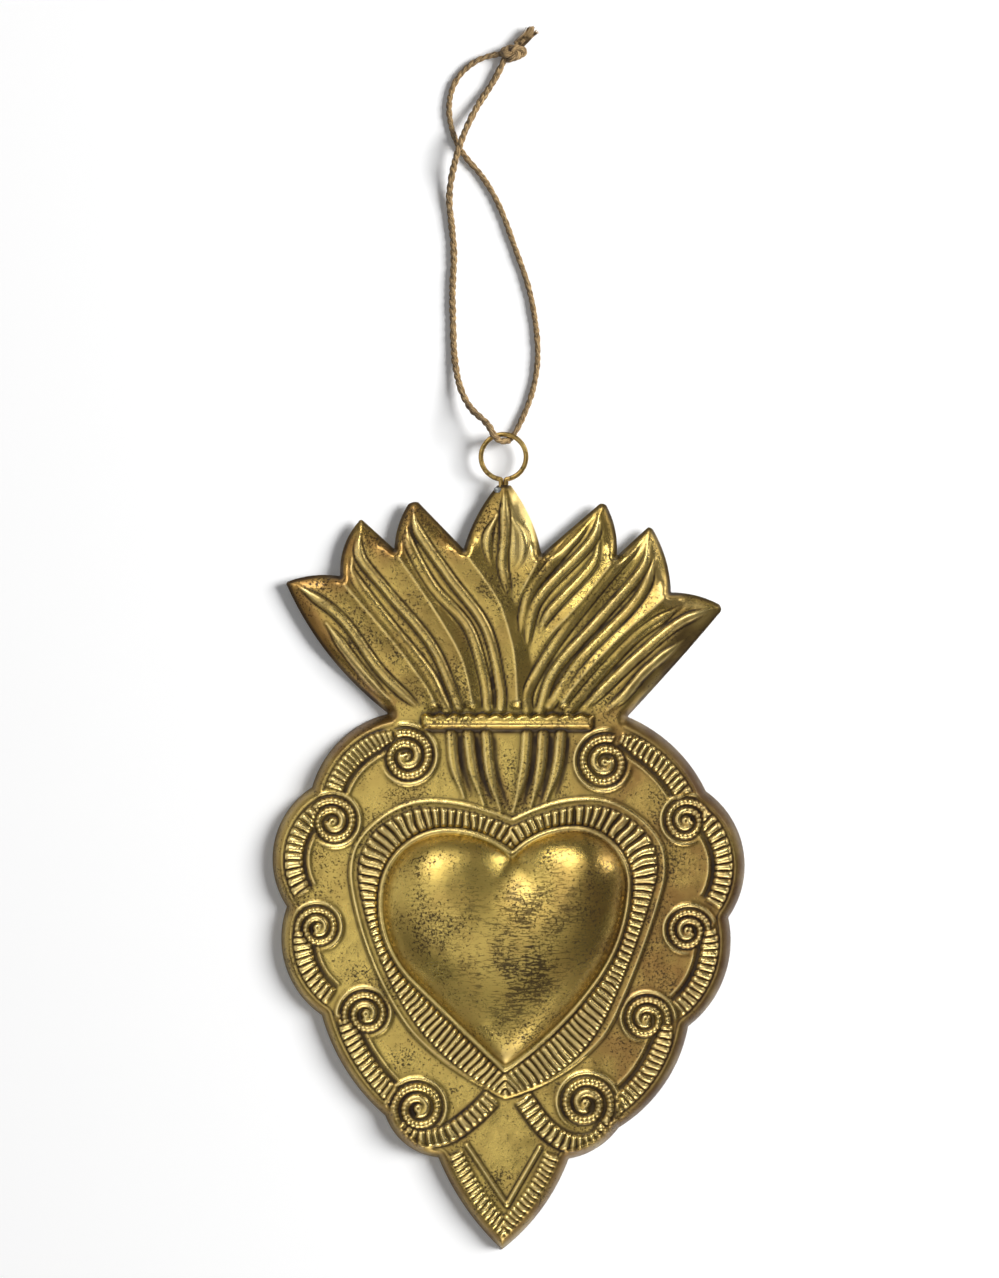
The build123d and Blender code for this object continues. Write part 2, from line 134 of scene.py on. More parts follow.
FLAME_RIDGES = (
    ((-67.2, 217.2), (-52.6, 206.1), (-39.5, 188.5), (-24.9, 174.9)),
    ((-57.8, 204.8), (-48.0, 191.5), (-40.8, 183.0), (-34.0, 177.7)),
    ((-49.6, 226.0), (-48.3, 219.4), (-37.9, 205.5), (-24.6, 188.9), (-18.4, 176.2)),
    ((-46.7, 236.0), (-46.7, 226.6), (-38.6, 215.9), (-23.3, 197.3), (-14.5, 177.4)),
    ((-31.1, 240.0), (-31.4, 232.5), (-23.3, 217.2), (-11.6, 203.5), (-6.3, 187.2), (-5.0, 176.8)),
    ((-29.8, 242.0), (-27.5, 234.1), (-17.4, 219.4), (-5.7, 203.2), (-1.1, 184.3), (-0.8, 176.8)),
    ((0.2, 248.4), (0.5, 235.1), (-0.2, 223.7), (1.5, 215.6), (2.8, 209.7)),
    ((-2.1, 240.0), (-5.2, 233.0), (-4.6, 226.0), (-1.8, 221.6)),
    ((2.8, 239.0), (6.4, 233.0), (5.8, 226.0), (2.6, 220.6)),
    ((29.1, 239.2), (15.5, 223.7), (9.0, 215.4), (6.6, 207.7), (5.7, 197.0)),
    ((31.4, 241.0), (28.5, 231.2), (13.2, 214.9), (8.9, 206.1), (7.6, 194.0)),
    ((31.2, 231.5), (28.5, 223.0), (14.8, 207.7), (10.6, 198.3)),
    ((46.7, 234.0), (33.0, 218.4), (17.7, 199.2), (8.6, 184.0), (7.6, 176.2)),
    ((47.3, 231.2), (45.0, 222.0), (32.1, 206.9), (16.8, 189.5), (11.9, 176.2)),
    ((49.6, 226.0), (43.5, 212.3), (24.9, 192.7), (15.0, 177.8)),
    ((57.5, 210.1), (43.8, 200.9), (30.8, 187.4), (20.9, 175.4)),
    ((68.5, 210.0), (56.5, 204.4), (44.7, 194.7), (33.0, 183.7), (24.2, 174.6)),
    ((58.8, 199.3), (46.7, 189.5), (39.0, 180.8), (30.1, 173.6)),
)

# Noise of the hammered sheet: size, cell and seed. Seeds of the noise that jogs the ribbons and the ribs.
DENTS = ((0.10, 9.0, 3), (0.05, 3.6, 4), (0.018, 1.5, 5))
RIBBON_SEED, RIB_SEED = 7, 8

# The solder that shows at the front: x, up, z of its middle, and half of its size.
SPOT_PLACE, SPOT_HALF = (-1.9, 248.2, 5.2), (1.3, 1.05, 0.9)
SPOT_RINGS, SPOT_SIDES = 25, 40
# The order of a face's corners that turns it over and keeps its first corner.
FACING_OUT = (0, 3, 2, 1)

# The wire: points round its ring and down a shank, its sides, and the angle from its top to the ring's ends.
RING_POINTS, SHANK_POINTS, WIRE_SIDES, RING_TURN = 121, 24, 18, 173.5

# The twine's two routes from the bight in the ring: x, up, z. They are the route points of the solids, with
# four of the left one's near the ring moved by up to 1.4 mm, so that it clears the wire when it swings.
BIGHT = (1.9, 264.5, 3.0)
LEFT_ROUTE = (
    BIGHT, (-0.4, 263.7, 5.2), (-3.0, 265.2, 8.6), (-5.0, 269.6, 8.6), (-10.9, 274.4, 5.2),
    (-14.5, 281.9, 2.6), (-16.2, 291.7, 1.2), (-16.5, 302.8, 1.0), (-16.8, 313.8, 1.0), (-16.0, 324.9, 1.0),
    (-16.9, 334.6, 1.0), (-18.1, 344.4, 1.6), (-15.9, 355.5, 4.8), (-12.9, 364.6, 4.8), (-8.6, 373.7, 2.2),
    (-4.7, 379.5, 1.2), (-1.5, 384.8, 1.5), (0.8, 390.0, 2.0),
)
RIGHT_ROUTE = (
    BIGHT, (2.8, 265.4, 1.4), (5.2, 269.4, 1.3), (9.3, 279.0, 1.0), (11.4, 289.7, 1.0), (10.9, 300.8, 1.0),
    (8.5, 314.5, 1.0), (3.7, 327.5, 1.0), (-0.8, 340.5, 1.0), (-6.7, 350.9, 1.0), (-13.2, 357.7, 1.0),
    (-16.9, 365.2, 1.0), (-18.2, 374.0, 1.0), (-16.1, 382.1, 1.0), (-10.3, 388.0, 1.2), (-4.4, 390.3, 1.8),
    (0.8, 390.9, 2.2),
)
# Each strand: route, seed of its plies, seed of its hairs, and thickness as a share of the twine's.
STRANDS = {"twine_left": (LEFT_ROUTE, 11, 21, 1.1), "twine_right": (RIGHT_ROUTE, 12, 22, 0.96)}
KNOT_SEED, TAIL_SEED = 31, 41
# Distance of a ply from the twine's middle and its radius, as shares of the twine's diameter, and its sides.
PLY_OFF, PLY_RADIUS, PLY_SIDES = 0.15, 0.39, 12
# Lengths in metres: spacing of the points along a line, sizes of a loose hair, its least height, and how far
# inside their box the tails begin and end.
STRAND_STEP, LINE_STEP = 0.00035, 0.0003
HAIR_REACH, HAIR_ROOT, HAIR_RADIUS, HAIR_FLOOR = 0.0022, 0.0006, 0.00003, 0.00012
TAIL_START, TAIL_END, FIBRE_RADIUS = (0.0021, 0.0011, 0.0), (0.0016, 0.0006, 0.0), 0.00015
TAIL_BUNDLES, BUNDLE_FIBRES = 10, 11
UPWARD = (0.0, 0.0, 1.0)
# A direction that no hair or fibre runs along.
SLANT = (0.31, 0.22, 0.92)

WHITE = (1.0, 1.0, 1.0, 1.0)
BARE_BACK = (0.30, 0.27, 0.20, 1.0)
WIRE_BROWN, WIRE_BRIGHT = (0.30, 0.19, 0.055, 1.0), (0.52, 0.36, 0.12, 1.0)
SOLDER_GREY, FLUX_DARK = (0.33, 0.34, 0.33, 1.0), (0.07, 0.075, 0.07, 1.0)
JUTE_PALE = (0.58, 0.43, 0.22, 1.0)
FLOOR_SHADE = (0.85, 0.85, 0.85, 1.0)

# Floor and camera in metres, with the camera's sensor in millimetres.
FLOOR_HALF, FLOOR_DROP, FLOOR_GLOW = 2.5, 0.0002, 0.08
FLOOR_CORNERS = ((-1, -1), (1, -1), (1, 1), (-1, 1))
SENSOR_WIDTH, CLIP_END = 36.0, 20.0
# Lights: place, size, the setting with the power, and the kind of ray that doesn't see the light.
LAMPS = {
    "key_right": ((2.1, 0.5, 1.57), (1.2, 1.2), "key", "visible_glossy"),
    "top_wide": ((-0.42, -0.05, 1.5), (1.2, 1.4), "top", "visible_diffuse"),
    "top_edge": ((-0.3, 0.95, 1.0), (0.7, 0.5), "fill", "visible_diffuse"),
    "kicker_right": ((1.35, 0.8, 0.45), (0.4, 0.4), "kicker", "visible_diffuse"),
    "side_left": ((-1.2, 0.25, 0.45), (1.1, 1.3), "side", "visible_diffuse"),
    "low_front": ((0.1, -1.4, 0.5), (1.3, 0.5), "low", "visible_diffuse"),
}


def size_mm(name, description, default):
    """Setting for a size in millimetres."""
    return FloatProperty(name=name, description=description + ", mm", default=default)


def opaque(name, description, rgb):
    """Setting for an opaque colour."""
    return FloatVectorProperty(name=name, description=description, subtype="COLOR", size=4,
                               default=(*rgb, 1.0))


def power_of(name, description, default):
    """Setting for the power of a light."""
    return FloatProperty(name=name, description="Power of the " + description, default=default, unit="POWER")


class TinSettings(bpy.types.PropertyGroup):
    """Sizes and colours of the pressed sheet and its wire eye."""

    grid_step: size_mm("Grid", "Spacing of the sheet's surface points", 0.4)
    thickness: size_mm("Thickness", "Thickness of the tin", 0.5)
    field_height: size_mm("Field", "Height of the plain field", 6.0)
    rim_run: size_mm("Rim", "Width of the leaning edge", 3.7)
    flame_run: size_mm("Flame edge", "Width of the flames' rounded edges", 7.5)
    flame_lift: size_mm("Flame lift", "Height of the flames' edges", 3.0)
    ribbon_inset: size_mm("Ribbon inset", "Edge to the middle of a ribbon", 7.2)
    ribbon_half: size_mm("Ribbon half", "Half of a ribbon's width", 3.1)
    dome_height: size_mm("Dome", "Rise of the dome above the band", 11.9)
    dome_round: size_mm("Dome round", "Width of the dome's rounded side", 18.0)
    rib_pitch: size_mm("Rib pitch", "Spacing of the heart band's ribs", 2.15)
    ring_radius: size_mm("Ring", "Radius of the ring at the middle of its wire", 7.35)
    wire_radius: size_mm("Wire", "Radius of the eye's wire", 0.8)
    gold: opaque("Gold", "Flat lacquered gold", (0.56, 0.41, 0.105))
    # Worn gold also paints highlights on crests, rims and the flames' edges.
    worn_and_highlit_gold: opaque("Worn gold", "Rubbed ridges", (0.85, 0.66, 0.27))
    # Bronze also paints shade on the rims.
    bronze: opaque("Bronze", "Warm tint near the tips", (0.29, 0.145, 0.042))
    # The grime colour also paints shade in hollows, on rims, under the bar and at the dome's tip.
    grime_and_shade_colour: opaque("Grime", "Dark brown in the hollows", (0.026, 0.014, 0.005))


class TwineSettings(bpy.types.PropertyGroup):
    """Sizes and colours of the jute twine."""

    diameter: size_mm("Diameter", "Thickness of the twine", 1.9)
    lay: size_mm("Lay", "Length of one full twist of the two plies", 5.4)
    hairs: IntProperty(name="Hairs", description="Loose fibres on each strand", default=130)
    jute: opaque("Jute", "Colour of the fibres", (0.40, 0.262, 0.118))
    jute_shade: opaque("Jute shade", "Dark fibres", (0.07, 0.042, 0.018))


class StageSettings(bpy.types.PropertyGroup):
    """Camera, floor and lights."""

    view_height: FloatProperty(name="View", description="Height of the picture at the sheet", default=0.4159,
                               unit="LENGTH")
    aim: FloatVectorProperty(name="Aim", description="Middle of the picture", size=3, subtype="TRANSLATION",
                             default=(-0.0013, 0.0660, 0.006))
    lens: size_mm("Lens", "Focal length", 100.0)
    floor: opaque("Floor", "Colour of the floor", (0.93, 0.93, 0.93))
    key: power_of("Key", "light from the right", 116.0)
    top: power_of("Top", "wide light overhead", 5.8)
    fill: power_of("Fill", "light beyond the top", 9.5)
    side: power_of("Side", "low light from the left", 2.8)
    low: power_of("Low", "low light below the picture", 13.5)
    kicker: power_of("Kicker", "small low light from the right", 5.2)
    sky: FloatProperty(name="Sky", description="Strength of the even light all round", default=0.15)


def smooth(low, high, value):
    """0 below low, 1 above high, and 3t^2 - 2t^3 between them."""
    t = np.clip((value - low) / (high - low), 0.0, 1.0)
    return t * t * (3.0 - 2.0 * t)


def bump(distance, half_width):
    """Rounded ridge across a line: (1 - (d / w)^2)^2 inside half_width w, and 0 outside."""
    t = np.clip(distance / half_width, -1.0, 1.0)
    return (1.0 - t * t) ** 2


def arc(start, end, bow):
    """Circle arc from start to end that bows to the right of travel: centre, radius, first angle, sweep."""
    start, end = np.asarray(start, float), np.asarray(end, float)
    chord = np.hypot(*(end - start))
    bow = bow if abs(bow) > LEAST_BOW else LEAST_BOW
    radius = (chord * chord / 4.0 + bow * bow) / (2.0 * bow)
    along = (end - start) / chord
    centre = (start + end) / 2.0 + np.array((along[1], -along[0])) * (bow - radius)
    sweep = math.copysign(2.0 * math.asin(chord / 2.0 / abs(radius)), bow)
    return centre[0], centre[1], abs(radius), math.atan2(*(start - centre)[::-1]), sweep


def tangent_arcs(points, heading):
    """Arcs through the points, each starting in the direction in which the one before it ends."""
    arcs = []
    for start, end in zip(points, points[1:]):
        chord = np.subtract(end, start)
        lean = math.atan2(heading[0] * chord[1] - heading[1] * chord[0], np.dot(heading, chord))
        arcs.append(arc(start, end, np.hypot(*chord) / 2.0 * math.tan(lean / 2.0)))
        turn = math.atan2(heading[1], heading[0]) + 2.0 * lean
        heading = (math.cos(turn), math.sin(turn))
    return arcs


def nearest_on_arc(piece, x, up):
    """Distance to an arc, length along it, and the nearest point: the angle is held inside the sweep."""
    cx, cu, radius, first, sweep = piece
    turn, half = math.copysign(1.0, sweep), abs(sweep) / 2.0
    angle = (np.arctan2(up - cu, x - cx) - first) * turn - half
    angle = np.clip((angle + math.pi) % (2.0 * math.pi) - math.pi, -half, half) + half
    near_x = cx + radius * np.cos(first + turn * angle)
    near_up = cu + radius * np.sin(first + turn * angle)
    return np.hypot(x - near_x, up - near_up), radius * angle, near_x, near_up


def arc_points(piece, count):
    """Points along an arc, without its last one."""
    cx, cu, radius, first, sweep = piece
    angle = first + sweep * np.arange(count) / count
    return np.stack((cx + radius * np.cos(angle), cu + radius * np.sin(angle)), axis=1)


def spline_points(points, count):
    """Catmull-Rom curve through the points: cubic with each point's slope half of its neighbours' chord."""
    p = np.asarray(points, float)
    p = np.concatenate((2.0 * p[:1] - p[1:2], p, 2.0 * p[-1:] - p[-2:-1]))
    spans = len(p) - 3
    t = np.linspace(0.0, spans, count)
    i = np.minimum(t.astype(int), spans - 1)
    f = (t - i)[:, None]
    a, b, c, d = p[i], p[i + 1], p[i + 2], p[i + 3]
    return 0.5 * (2.0 * b + (c - a) * f + (2.0 * a - 5.0 * b + 4.0 * c - d) * f ** 2
                  + (3.0 * b - a - 3.0 * c + d) * f ** 3)


class Field:
    """Regular grid over the sheet, x and up in millimetres, with helpers that work on a part of it."""

    def __init__(self, step):
        self.step = step
        self.x_axis = np.arange(-GRID_HALF, GRID_HALF + step, step)
        self.up_axis = np.arange(GRID_UP[0], GRID_UP[1] + step, step)
        self.x, self.up = np.meshgrid(self.x_axis, self.up_axis)

    def cells(self, length):
        """The number of cells nearest to a length."""
        return int(round(length / self.step))

    def part(self, points, reach):
        """Slices of the grid around the points, widened by reach."""
        low, high = np.min(points, axis=0) - reach, np.max(points, axis=0) + reach
        rows = slice(*np.searchsorted(self.up_axis, (low[1], high[1])))
        return rows, slice(*np.searchsorted(self.x_axis, (low[0], high[0])))

    def inside(self, outline):
        """True inside a closed outline: each row counts the crossings to its left, and odd is inside."""
        (x0, u0), (x1, u1) = outline.T[:, None], np.roll(outline, -1, axis=0).T[:, None]
        row = self.up_axis[:, None]
        rows, sides = np.nonzero((u0 <= row) != (u1 <= row))
        x0, u0, x1, u1 = (v[0][sides] for v in (x0, u0, x1, u1))
        cross = x0 + (self.up_axis[rows] - u0) / (u1 - u0) * (x1 - x0)
        count = np.zeros(self.x.shape, int)
        np.add.at(count, (rows, np.searchsorted(self.x_axis, cross)), 1)
        return np.cumsum(count, axis=1) % 2 == 1

    def near_arcs(self, arcs, reach):
        """Least distance to the arcs, with the arc's number, the length along it and the nearest point."""
        shape = self.x.shape
        least, number, along = np.full(shape, FAR), np.full(shape, -1), np.zeros(shape)
        near = np.stack((self.x, self.up))
        for index, piece in enumerate(arcs):
            where = self.part(arc_points(piece, LINE_POINTS), reach)
            d, s, px, pu = nearest_on_arc(piece, self.x[where], self.up[where])
            closer = d < least[where]
            least[where] = np.where(closer, d, least[where])
            number[where] = np.where(closer, index, number[where])
            along[where] = np.where(closer, s, along[where])
            near[0][where] = np.where(closer, px, near[0][where])
            near[1][where] = np.where(closer, pu, near[1][where])
        return least, number, along, near

    def near_line(self, points, reach):
        """Part of the grid near a smooth line, distance to it, share of its length there, and its length."""
        line = spline_points(points, LINE_POINTS * len(points))
        where = self.part(line, reach)
        x, up = self.x[where], self.up[where]
        least, share = np.full(x.shape, FAR), np.zeros(x.shape)
        steps = np.diff(line, axis=0)
        runs = np.hypot(*steps.T)
        reached = np.concatenate(((0.0,), np.cumsum(runs)))
        for start, step, run, before in zip(line, steps, runs, reached):
            t = np.clip(((x - start[0]) * step[0] + (up - start[1]) * step[1]) / run ** 2, 0.0, 1.0)
            d = np.hypot(x - start[0] - t * step[0], up - start[1] - t * step[1])
            share = np.where(d < least, (before + t * run) / reached[-1], share)
            least = np.minimum(least, d)
        return where, least, share, reached[-1]

    def noise(self, cell, seed):
        """Smooth noise of about unit size: seeded random heights every cell, joined by smooth steps."""
        rng = np.random.default_rng(seed)
        coarse_u = np.arange(self.up_axis[0] - cell, self.up_axis[-1] + 2 * cell, cell)
        coarse_x = np.arange(self.x_axis[0] - cell, self.x_axis[-1] + 2 * cell, cell)
        heights = rng.standard_normal((len(coarse_u), len(coarse_x)))
        t = (self.up_axis - coarse_u[0]) / cell
        i = t.astype(int)
        f = smooth(0.0, 1.0, t - i)[:, None]
        rows = heights[i] * (1.0 - f) + heights[i + 1] * f
        t = (self.x_axis - coarse_x[0]) / cell
        i = t.astype(int)
        f = smooth(0.0, 1.0, t - i)
        return rows[:, i] * (1.0 - f) + rows[:, i + 1] * f


def soften(height, passes):
    """Blurs a height field: each pass takes a quarter, a half and a quarter of three neighbours each way."""
    for _ in range(passes):
        padded = np.pad(height, 1, mode="edge")
        rows = (padded[:-2] + 2.0 * padded[1:-1] + padded[2:]) / 4.0
        height = (rows[:, :-2] + 2.0 * rows[:, 1:-1] + rows[:, 2:]) / 4.0
    return height


def mean_around(height, cells):
    """Mean of a square of cells around each point, from running sums."""
    size = 2 * cells + 1
    for axis in (0, 1):
        pad = [(0, 0), (0, 0)]
        pad[axis] = (cells + 1, cells)
        total = np.cumsum(np.pad(height, pad, mode="edge"), axis=axis)
        ahead = np.take(total, np.arange(size, total.shape[axis]), axis=axis)
        height = (ahead - np.take(total, np.arange(total.shape[axis] - size), axis=axis)) / size
    return height


def heart_sides(line):
    """Arcs of a heart line, left and right: from the top of each lobe to the tip, then to the notch."""
    notch, left, right, tip = line
    sides = []
    for lobe, way in ((left, -1.0), (right, 1.0)):
        down = tangent_arcs((*lobe, tip), (way, 0.0))
        sides.append(down + tangent_arcs((lobe[0], notch), (-way, 0.0)))
    return sides


def heart_outline(line):
    """Closed outline of a heart line: down the right side from the notch, and up the left one."""
    left, right = heart_sides(line)
    rows = []
    for side, way in ((right, 1), (left, -1)):
        lobe = [arc_points(piece, HEART_POINTS) for piece in side[:-1]]
        top = arc_points(side[-1], HEART_POINTS)[::-1]
        run = np.concatenate([top] + lobe + [np.array([line[3]])])
        rows.append(run[::way])
    return np.concatenate(rows)


def heart_reach(field, line):
    """Distance inside a heart line (negative outside), the rounded distance inside, and length along it.

    The rounded distance joins those from the left and the right side as a + b - sqrt(a^2 + b^2). The length
    counts from the top of a lobe, and past the tip it goes on along the flank's direction."""
    side_reach, along = [], []
    tip_x, tip_up = line[3]
    for side, lobe in zip(heart_sides(line), line[1:3]):
        d, number, s, _ = field.near_arcs(side, FAR)
        before = np.concatenate(((0.0,), np.cumsum([abs(a[4]) * a[2] for a in side])))[:-1]
        before[-1] = 0.0
        side_reach.append(d)
        run = np.subtract(line[3], lobe[2]) / math.dist(line[3], lobe[2])
        past_tip = (field.x - tip_x) * run[0] + (field.up - tip_up) * run[1]
        along.append(s + before[number] + np.maximum(past_tip, 0.0))
    left, right = side_reach
    inside = field.inside(heart_outline(line))
    least = np.minimum(left, right)
    rounded = left + right - np.hypot(left, right)
    on_left = left - right < 0.001 * (tip_x - field.x)
    return np.where(inside, least, -least), np.where(inside, rounded, 0.0), np.where(on_left, *along)


class Relief:
    """Height of the pressed pattern over the plain field, and the share of grime and painted shade that lies
    in it.
    """

    everywhere = (slice(None), slice(None))

    def __init__(self, shape):
        self.height, self.soil_and_shade = np.zeros(shape), np.zeros(shape)

    def lift(self, height, soil_and_shade=0.0, where=everywhere):
        """Raises the pattern to a height where it is lower, and darkens it with grime and painted shade."""
        self.height[where] = np.maximum(self.height[where], height)
        self.stain_and_shade(soil_and_shade, where)

    def stain_and_shade(self, soil_and_shade, where=everywhere):
        """Darkens the pattern with grime and painted shade where it is less dark."""
        self.soil_and_shade[where] = np.maximum(self.soil_and_shade[where], soil_and_shade)


def rib_bars(along, pitch):
    """Flat bars every pitch: 1 on a bar and 0 in the gap, from the distance to the bar's middle line."""
    return smooth(0.92, 0.50, 2.0 * np.abs((along / pitch) % 1.0 - 0.5))


def ribbon_relief(across, along, pitch):
    """Ribbed ribbon: across runs from -1 to 1, the bars lean a little, and stand lower towards both edges."""
    bars = rib_bars(along + 0.2 * across, pitch)
    body = smooth(1.0, 0.74, np.abs(across))
    # The second value is grime and painted shade between the bars.
    return body * (1.0 - 0.25 * across * across) * (0.2 + 0.8 * bars), 0.8 * body * (1.0 - bars)


def volute_relief(x, up, volute):
    """Spiral of beads with a smooth lip round it: height, grime and painted shade, and the share of the
    ground that it covers.

    The radius falls by pitch each turn, so at angle a the arms lie at radius - pitch (a / turn + n)."""
    cx, cu, first, way, radius = volute
    boss, turns, bead_run = 1.5, 1.9, 1.45
    pitch = (radius - boss) / turns
    r = np.hypot(x - cx, up - cu)
    angle = (np.arctan2(up - cu, x - cx) - math.radians(first)) * way / (2.0 * math.pi) % 1.0
    total = np.clip(np.round((radius - r) / pitch - angle), 0.0, None) + angle
    across = (r - radius + pitch * total) / (0.5 * pitch)
    length = 2.0 * math.pi * (radius * total - pitch * total ** 2 / 2.0)
    inner = smooth(1.0, 1.35, total)
    beads = np.cos(math.pi * length / bead_run) ** 2 * bump(across - 0.15, 0.9) * (1.0 - inner)
    arm = smooth(1.05, 0.3, np.abs(across)) * (total < turns)
    middle = smooth(1.7, 0.9, r) * smooth(0.1, 0.6, r)
    height = np.maximum(arm * (0.55 + 0.65 * beads + 0.35 * inner), middle)
    outer = radius + pitch * (0.5 - angle)
    within = smooth(outer + 0.4, outer - 0.2, r)
    soil_and_shade = within * np.clip(1.0 - arm + 0.4 * arm * (1.0 - beads) * (1.0 - inner) - middle, 0.0, 1.0)
    round_it = smooth(0.0, 0.06, angle) * smooth(0.85, 0.6, angle)
    lip = bump(r - outer - 1.25, 1.0) * round_it
    soil_and_shade = np.maximum(soil_and_shade, 0.75 * bump(r - outer - 0.1, 0.7) * smooth(1.0, 0.85, angle))
    return np.maximum(1.4 * height, 0.8 * lip), 0.72 * soil_and_shade, np.maximum(within, lip)


def border_relief(relief, field, edge, tin):
    """Ribbons along the lobes and the bottom point, the line inside the rim, and the volutes.

    Gives the distance inside the edge, the number of the nearest edge and the nearest point on it."""
    x, up = field.x, field.up
    outline = np.concatenate([arc_points(piece, OUTLINE_POINTS) for piece in edge])
    inset, number, along, near = field.near_arcs(edge, 14.0)
    inset = np.where(field.inside(outline), inset, -inset)
    jog = 0.3 * field.noise(5.0, RIBBON_SEED)
    # Ribbons along the lobes, each with a groove and a lip inside it; the groove is darkened with painted
    # shade.
    middle, half, narrow = tin.ribbon_inset, tin.ribbon_half, 1.9
    for lobe, pitch in {**RIGHT_LOBES, **LEFT_LOBES}.items():
        radius = edge[lobe][2]
        length = abs(edge[lobe][4]) * radius
        from_low = along if lobe in RIGHT_LOBES else length - along
        width = narrow + (half - narrow) * smooth(length, length - 9.0, from_low)
        keep = (number == lobe) * smooth(0.5, 2.5, from_low) * smooth(length - 0.05, length - 1.5, from_low)
        along_middle = (along + jog) * (radius - middle) / radius
        height, soil_and_shade = ribbon_relief((inset - middle) / width, along_middle, pitch)
        relief.lift(1.5 * keep * height, keep * soil_and_shade)
        keep = keep * smooth(CROWN_FOOT - 1.0, CROWN_FOOT - 7.0, up)
        groove = keep * bump(inset - middle - width - 0.5, 1.0)
        relief.height -= 0.7 * groove
        # Painted shade in the groove inside the ribbon.
        relief.stain_and_shade(0.95 * groove)
        relief.height += 0.45 * keep * bump(inset - middle - width - 1.9, 0.8)
    # Ribbons and vee of the bottom point, and the ribbons of the two lowest volutes.
    for edge_number in POINT_EDGES:
        keep = number == edge_number
        height, soil_and_shade = ribbon_relief((inset - POINT_INSET) / POINT_HALF, along + jog, POINT_PITCH)
        relief.lift(1.2 * keep * height, keep * soil_and_shade)
    for line in FOOT_RIBBONS:
        where, d, share, length = field.near_line(line, 5.0)
        taper = smooth(0.0, 0.06, share)
        height, soil_and_shade = ribbon_relief(d / half, share * length + jog[where], FOOT_PITCH)
        relief.lift(1.4 * taper * height, taper * soil_and_shade, where)
        # Painted shade in the groove along the ribbon's sides.
        relief.stain_and_shade(0.8 * taper * bump(d - half - 0.4, 0.8), where)
        relief.height[where] -= 0.4 * taper * bump(d - half - 0.4, 0.8)
    tip_x = POINT_VEE[1][0]
    for arm, darkened in ((POINT_VEE[:2], x < tip_x), (POINT_VEE[1:], np.ones_like(x))):
        where, d, _, _ = field.near_line(arm, 2.5)
        relief.lift(0.7 * bump(d, 0.8), where=where)
        relief.stain_and_shade(0.6 * bump(d - 1.1, 0.6) * darkened[where], where)
    # The line chased inside the rim.
    ribboned = np.isin(number, (*RIGHT_LOBES, *LEFT_LOBES, *POINT_EDGES, *FOOT_EDGES))
    lobed = ribboned * smooth(CROWN_FOOT, CROWN_FOOT - 8.0, up)
    relief.height += lobed * (0.35 * bump(inset - 3.2, 0.6) - 0.35 * bump(inset - 4.0, 0.6))
    relief.stain_and_shade(0.8 * lobed * bump(inset - 4.0, 0.6))
    # The volutes, which cover the ribbons where they meet.
    for volute in VOLUTES:
        where = field.part([volute[:2]], 13.0)
        height, soil_and_shade, cover = volute_relief(x[where], up[where], volute)
        kept = smooth(2.4, 3.4, inset[where])
        cover, height = cover * kept, height * kept
        relief.height[where] = np.maximum(relief.height[where] * (1.0 - cover), height)
        relief.soil_and_shade[where] = np.maximum(relief.soil_and_shade[where] * (1.0 - cover), soil_and_shade * kept)
    return inset, number, near


def heart_relief(relief, field, tin):
    """Ribbed band between its outer line and the dome's foot, and the dome over the rounded reach t.

    The dome is the mean of 1 - (1 - t)^2.1 and a quarter of an ellipse."""
    up = field.up
    dome_in, dome_rounded, along = heart_reach(field, DOME_FOOT)
    band_in, _, _ = heart_reach(field, BAND_EDGE)
    # The band: a raised line outside it, ribs, and a bead along the dome's foot.
    line_out = 2.1 * smooth(146.0, 130.0, up) * smooth(52.0, 74.0, up)
    ribs_in = 0.3 + 1.9 * smooth(130.0, 146.0, up)
    bars = rib_bars(along + 0.3 * field.noise(5.0, RIB_SEED), tin.rib_pitch)
    reach = smooth(ribs_in, ribs_in + 0.7, band_in) * smooth(-1.5, -2.2, dome_in)
    band = 0.35 * smooth(-line_out - 0.6, -line_out + 0.3, band_in) + 0.45 * bump(band_in + line_out, 0.9)
    band += reach * (1.25 * bars - 0.25)
    band = np.maximum(band, 1.3 * bump(dome_in + 0.5, 0.8)) - 0.4 * bump(dome_in + 1.35, 0.5)
    # Grime and painted shade between the ribs, and painted shade in the gap outside the dome's foot.
    soil_and_shade = 0.85 * reach * (1.0 - bars) + 0.7 * bump(dome_in + 1.35, 0.5) + 0.55 * bump(band_in - ribs_in, 0.6)
    soil_and_shade = np.maximum(soil_and_shade, 0.5 * bump(band_in + line_out + 1.2, 0.7))
    # The dome, and the heart laid over what the border left there.
    round_in = np.clip((dome_rounded - 0.5) / tin.dome_round, 0.0, 1.0)
    ellipse = np.sqrt(np.clip(1.0 - (1.0 - round_in) ** 2, 0.0, 1.0))
    dome = 0.5 + (tin.dome_height + 0.4) * (0.5 * (1.0 - (1.0 - round_in) ** 2.1) + 0.5 * ellipse)
    over = smooth(-line_out - 1.6, -line_out - 0.9, band_in)
    heart = np.where(dome_in > 0.0, dome, band)
    relief.height = relief.height * (1.0 - over) + heart * over
    relief.soil_and_shade = relief.soil_and_shade * (1.0 - over) + np.where(dome_in > 0.0, 0.0, soil_and_shade) * over
    return dome_in, band_in


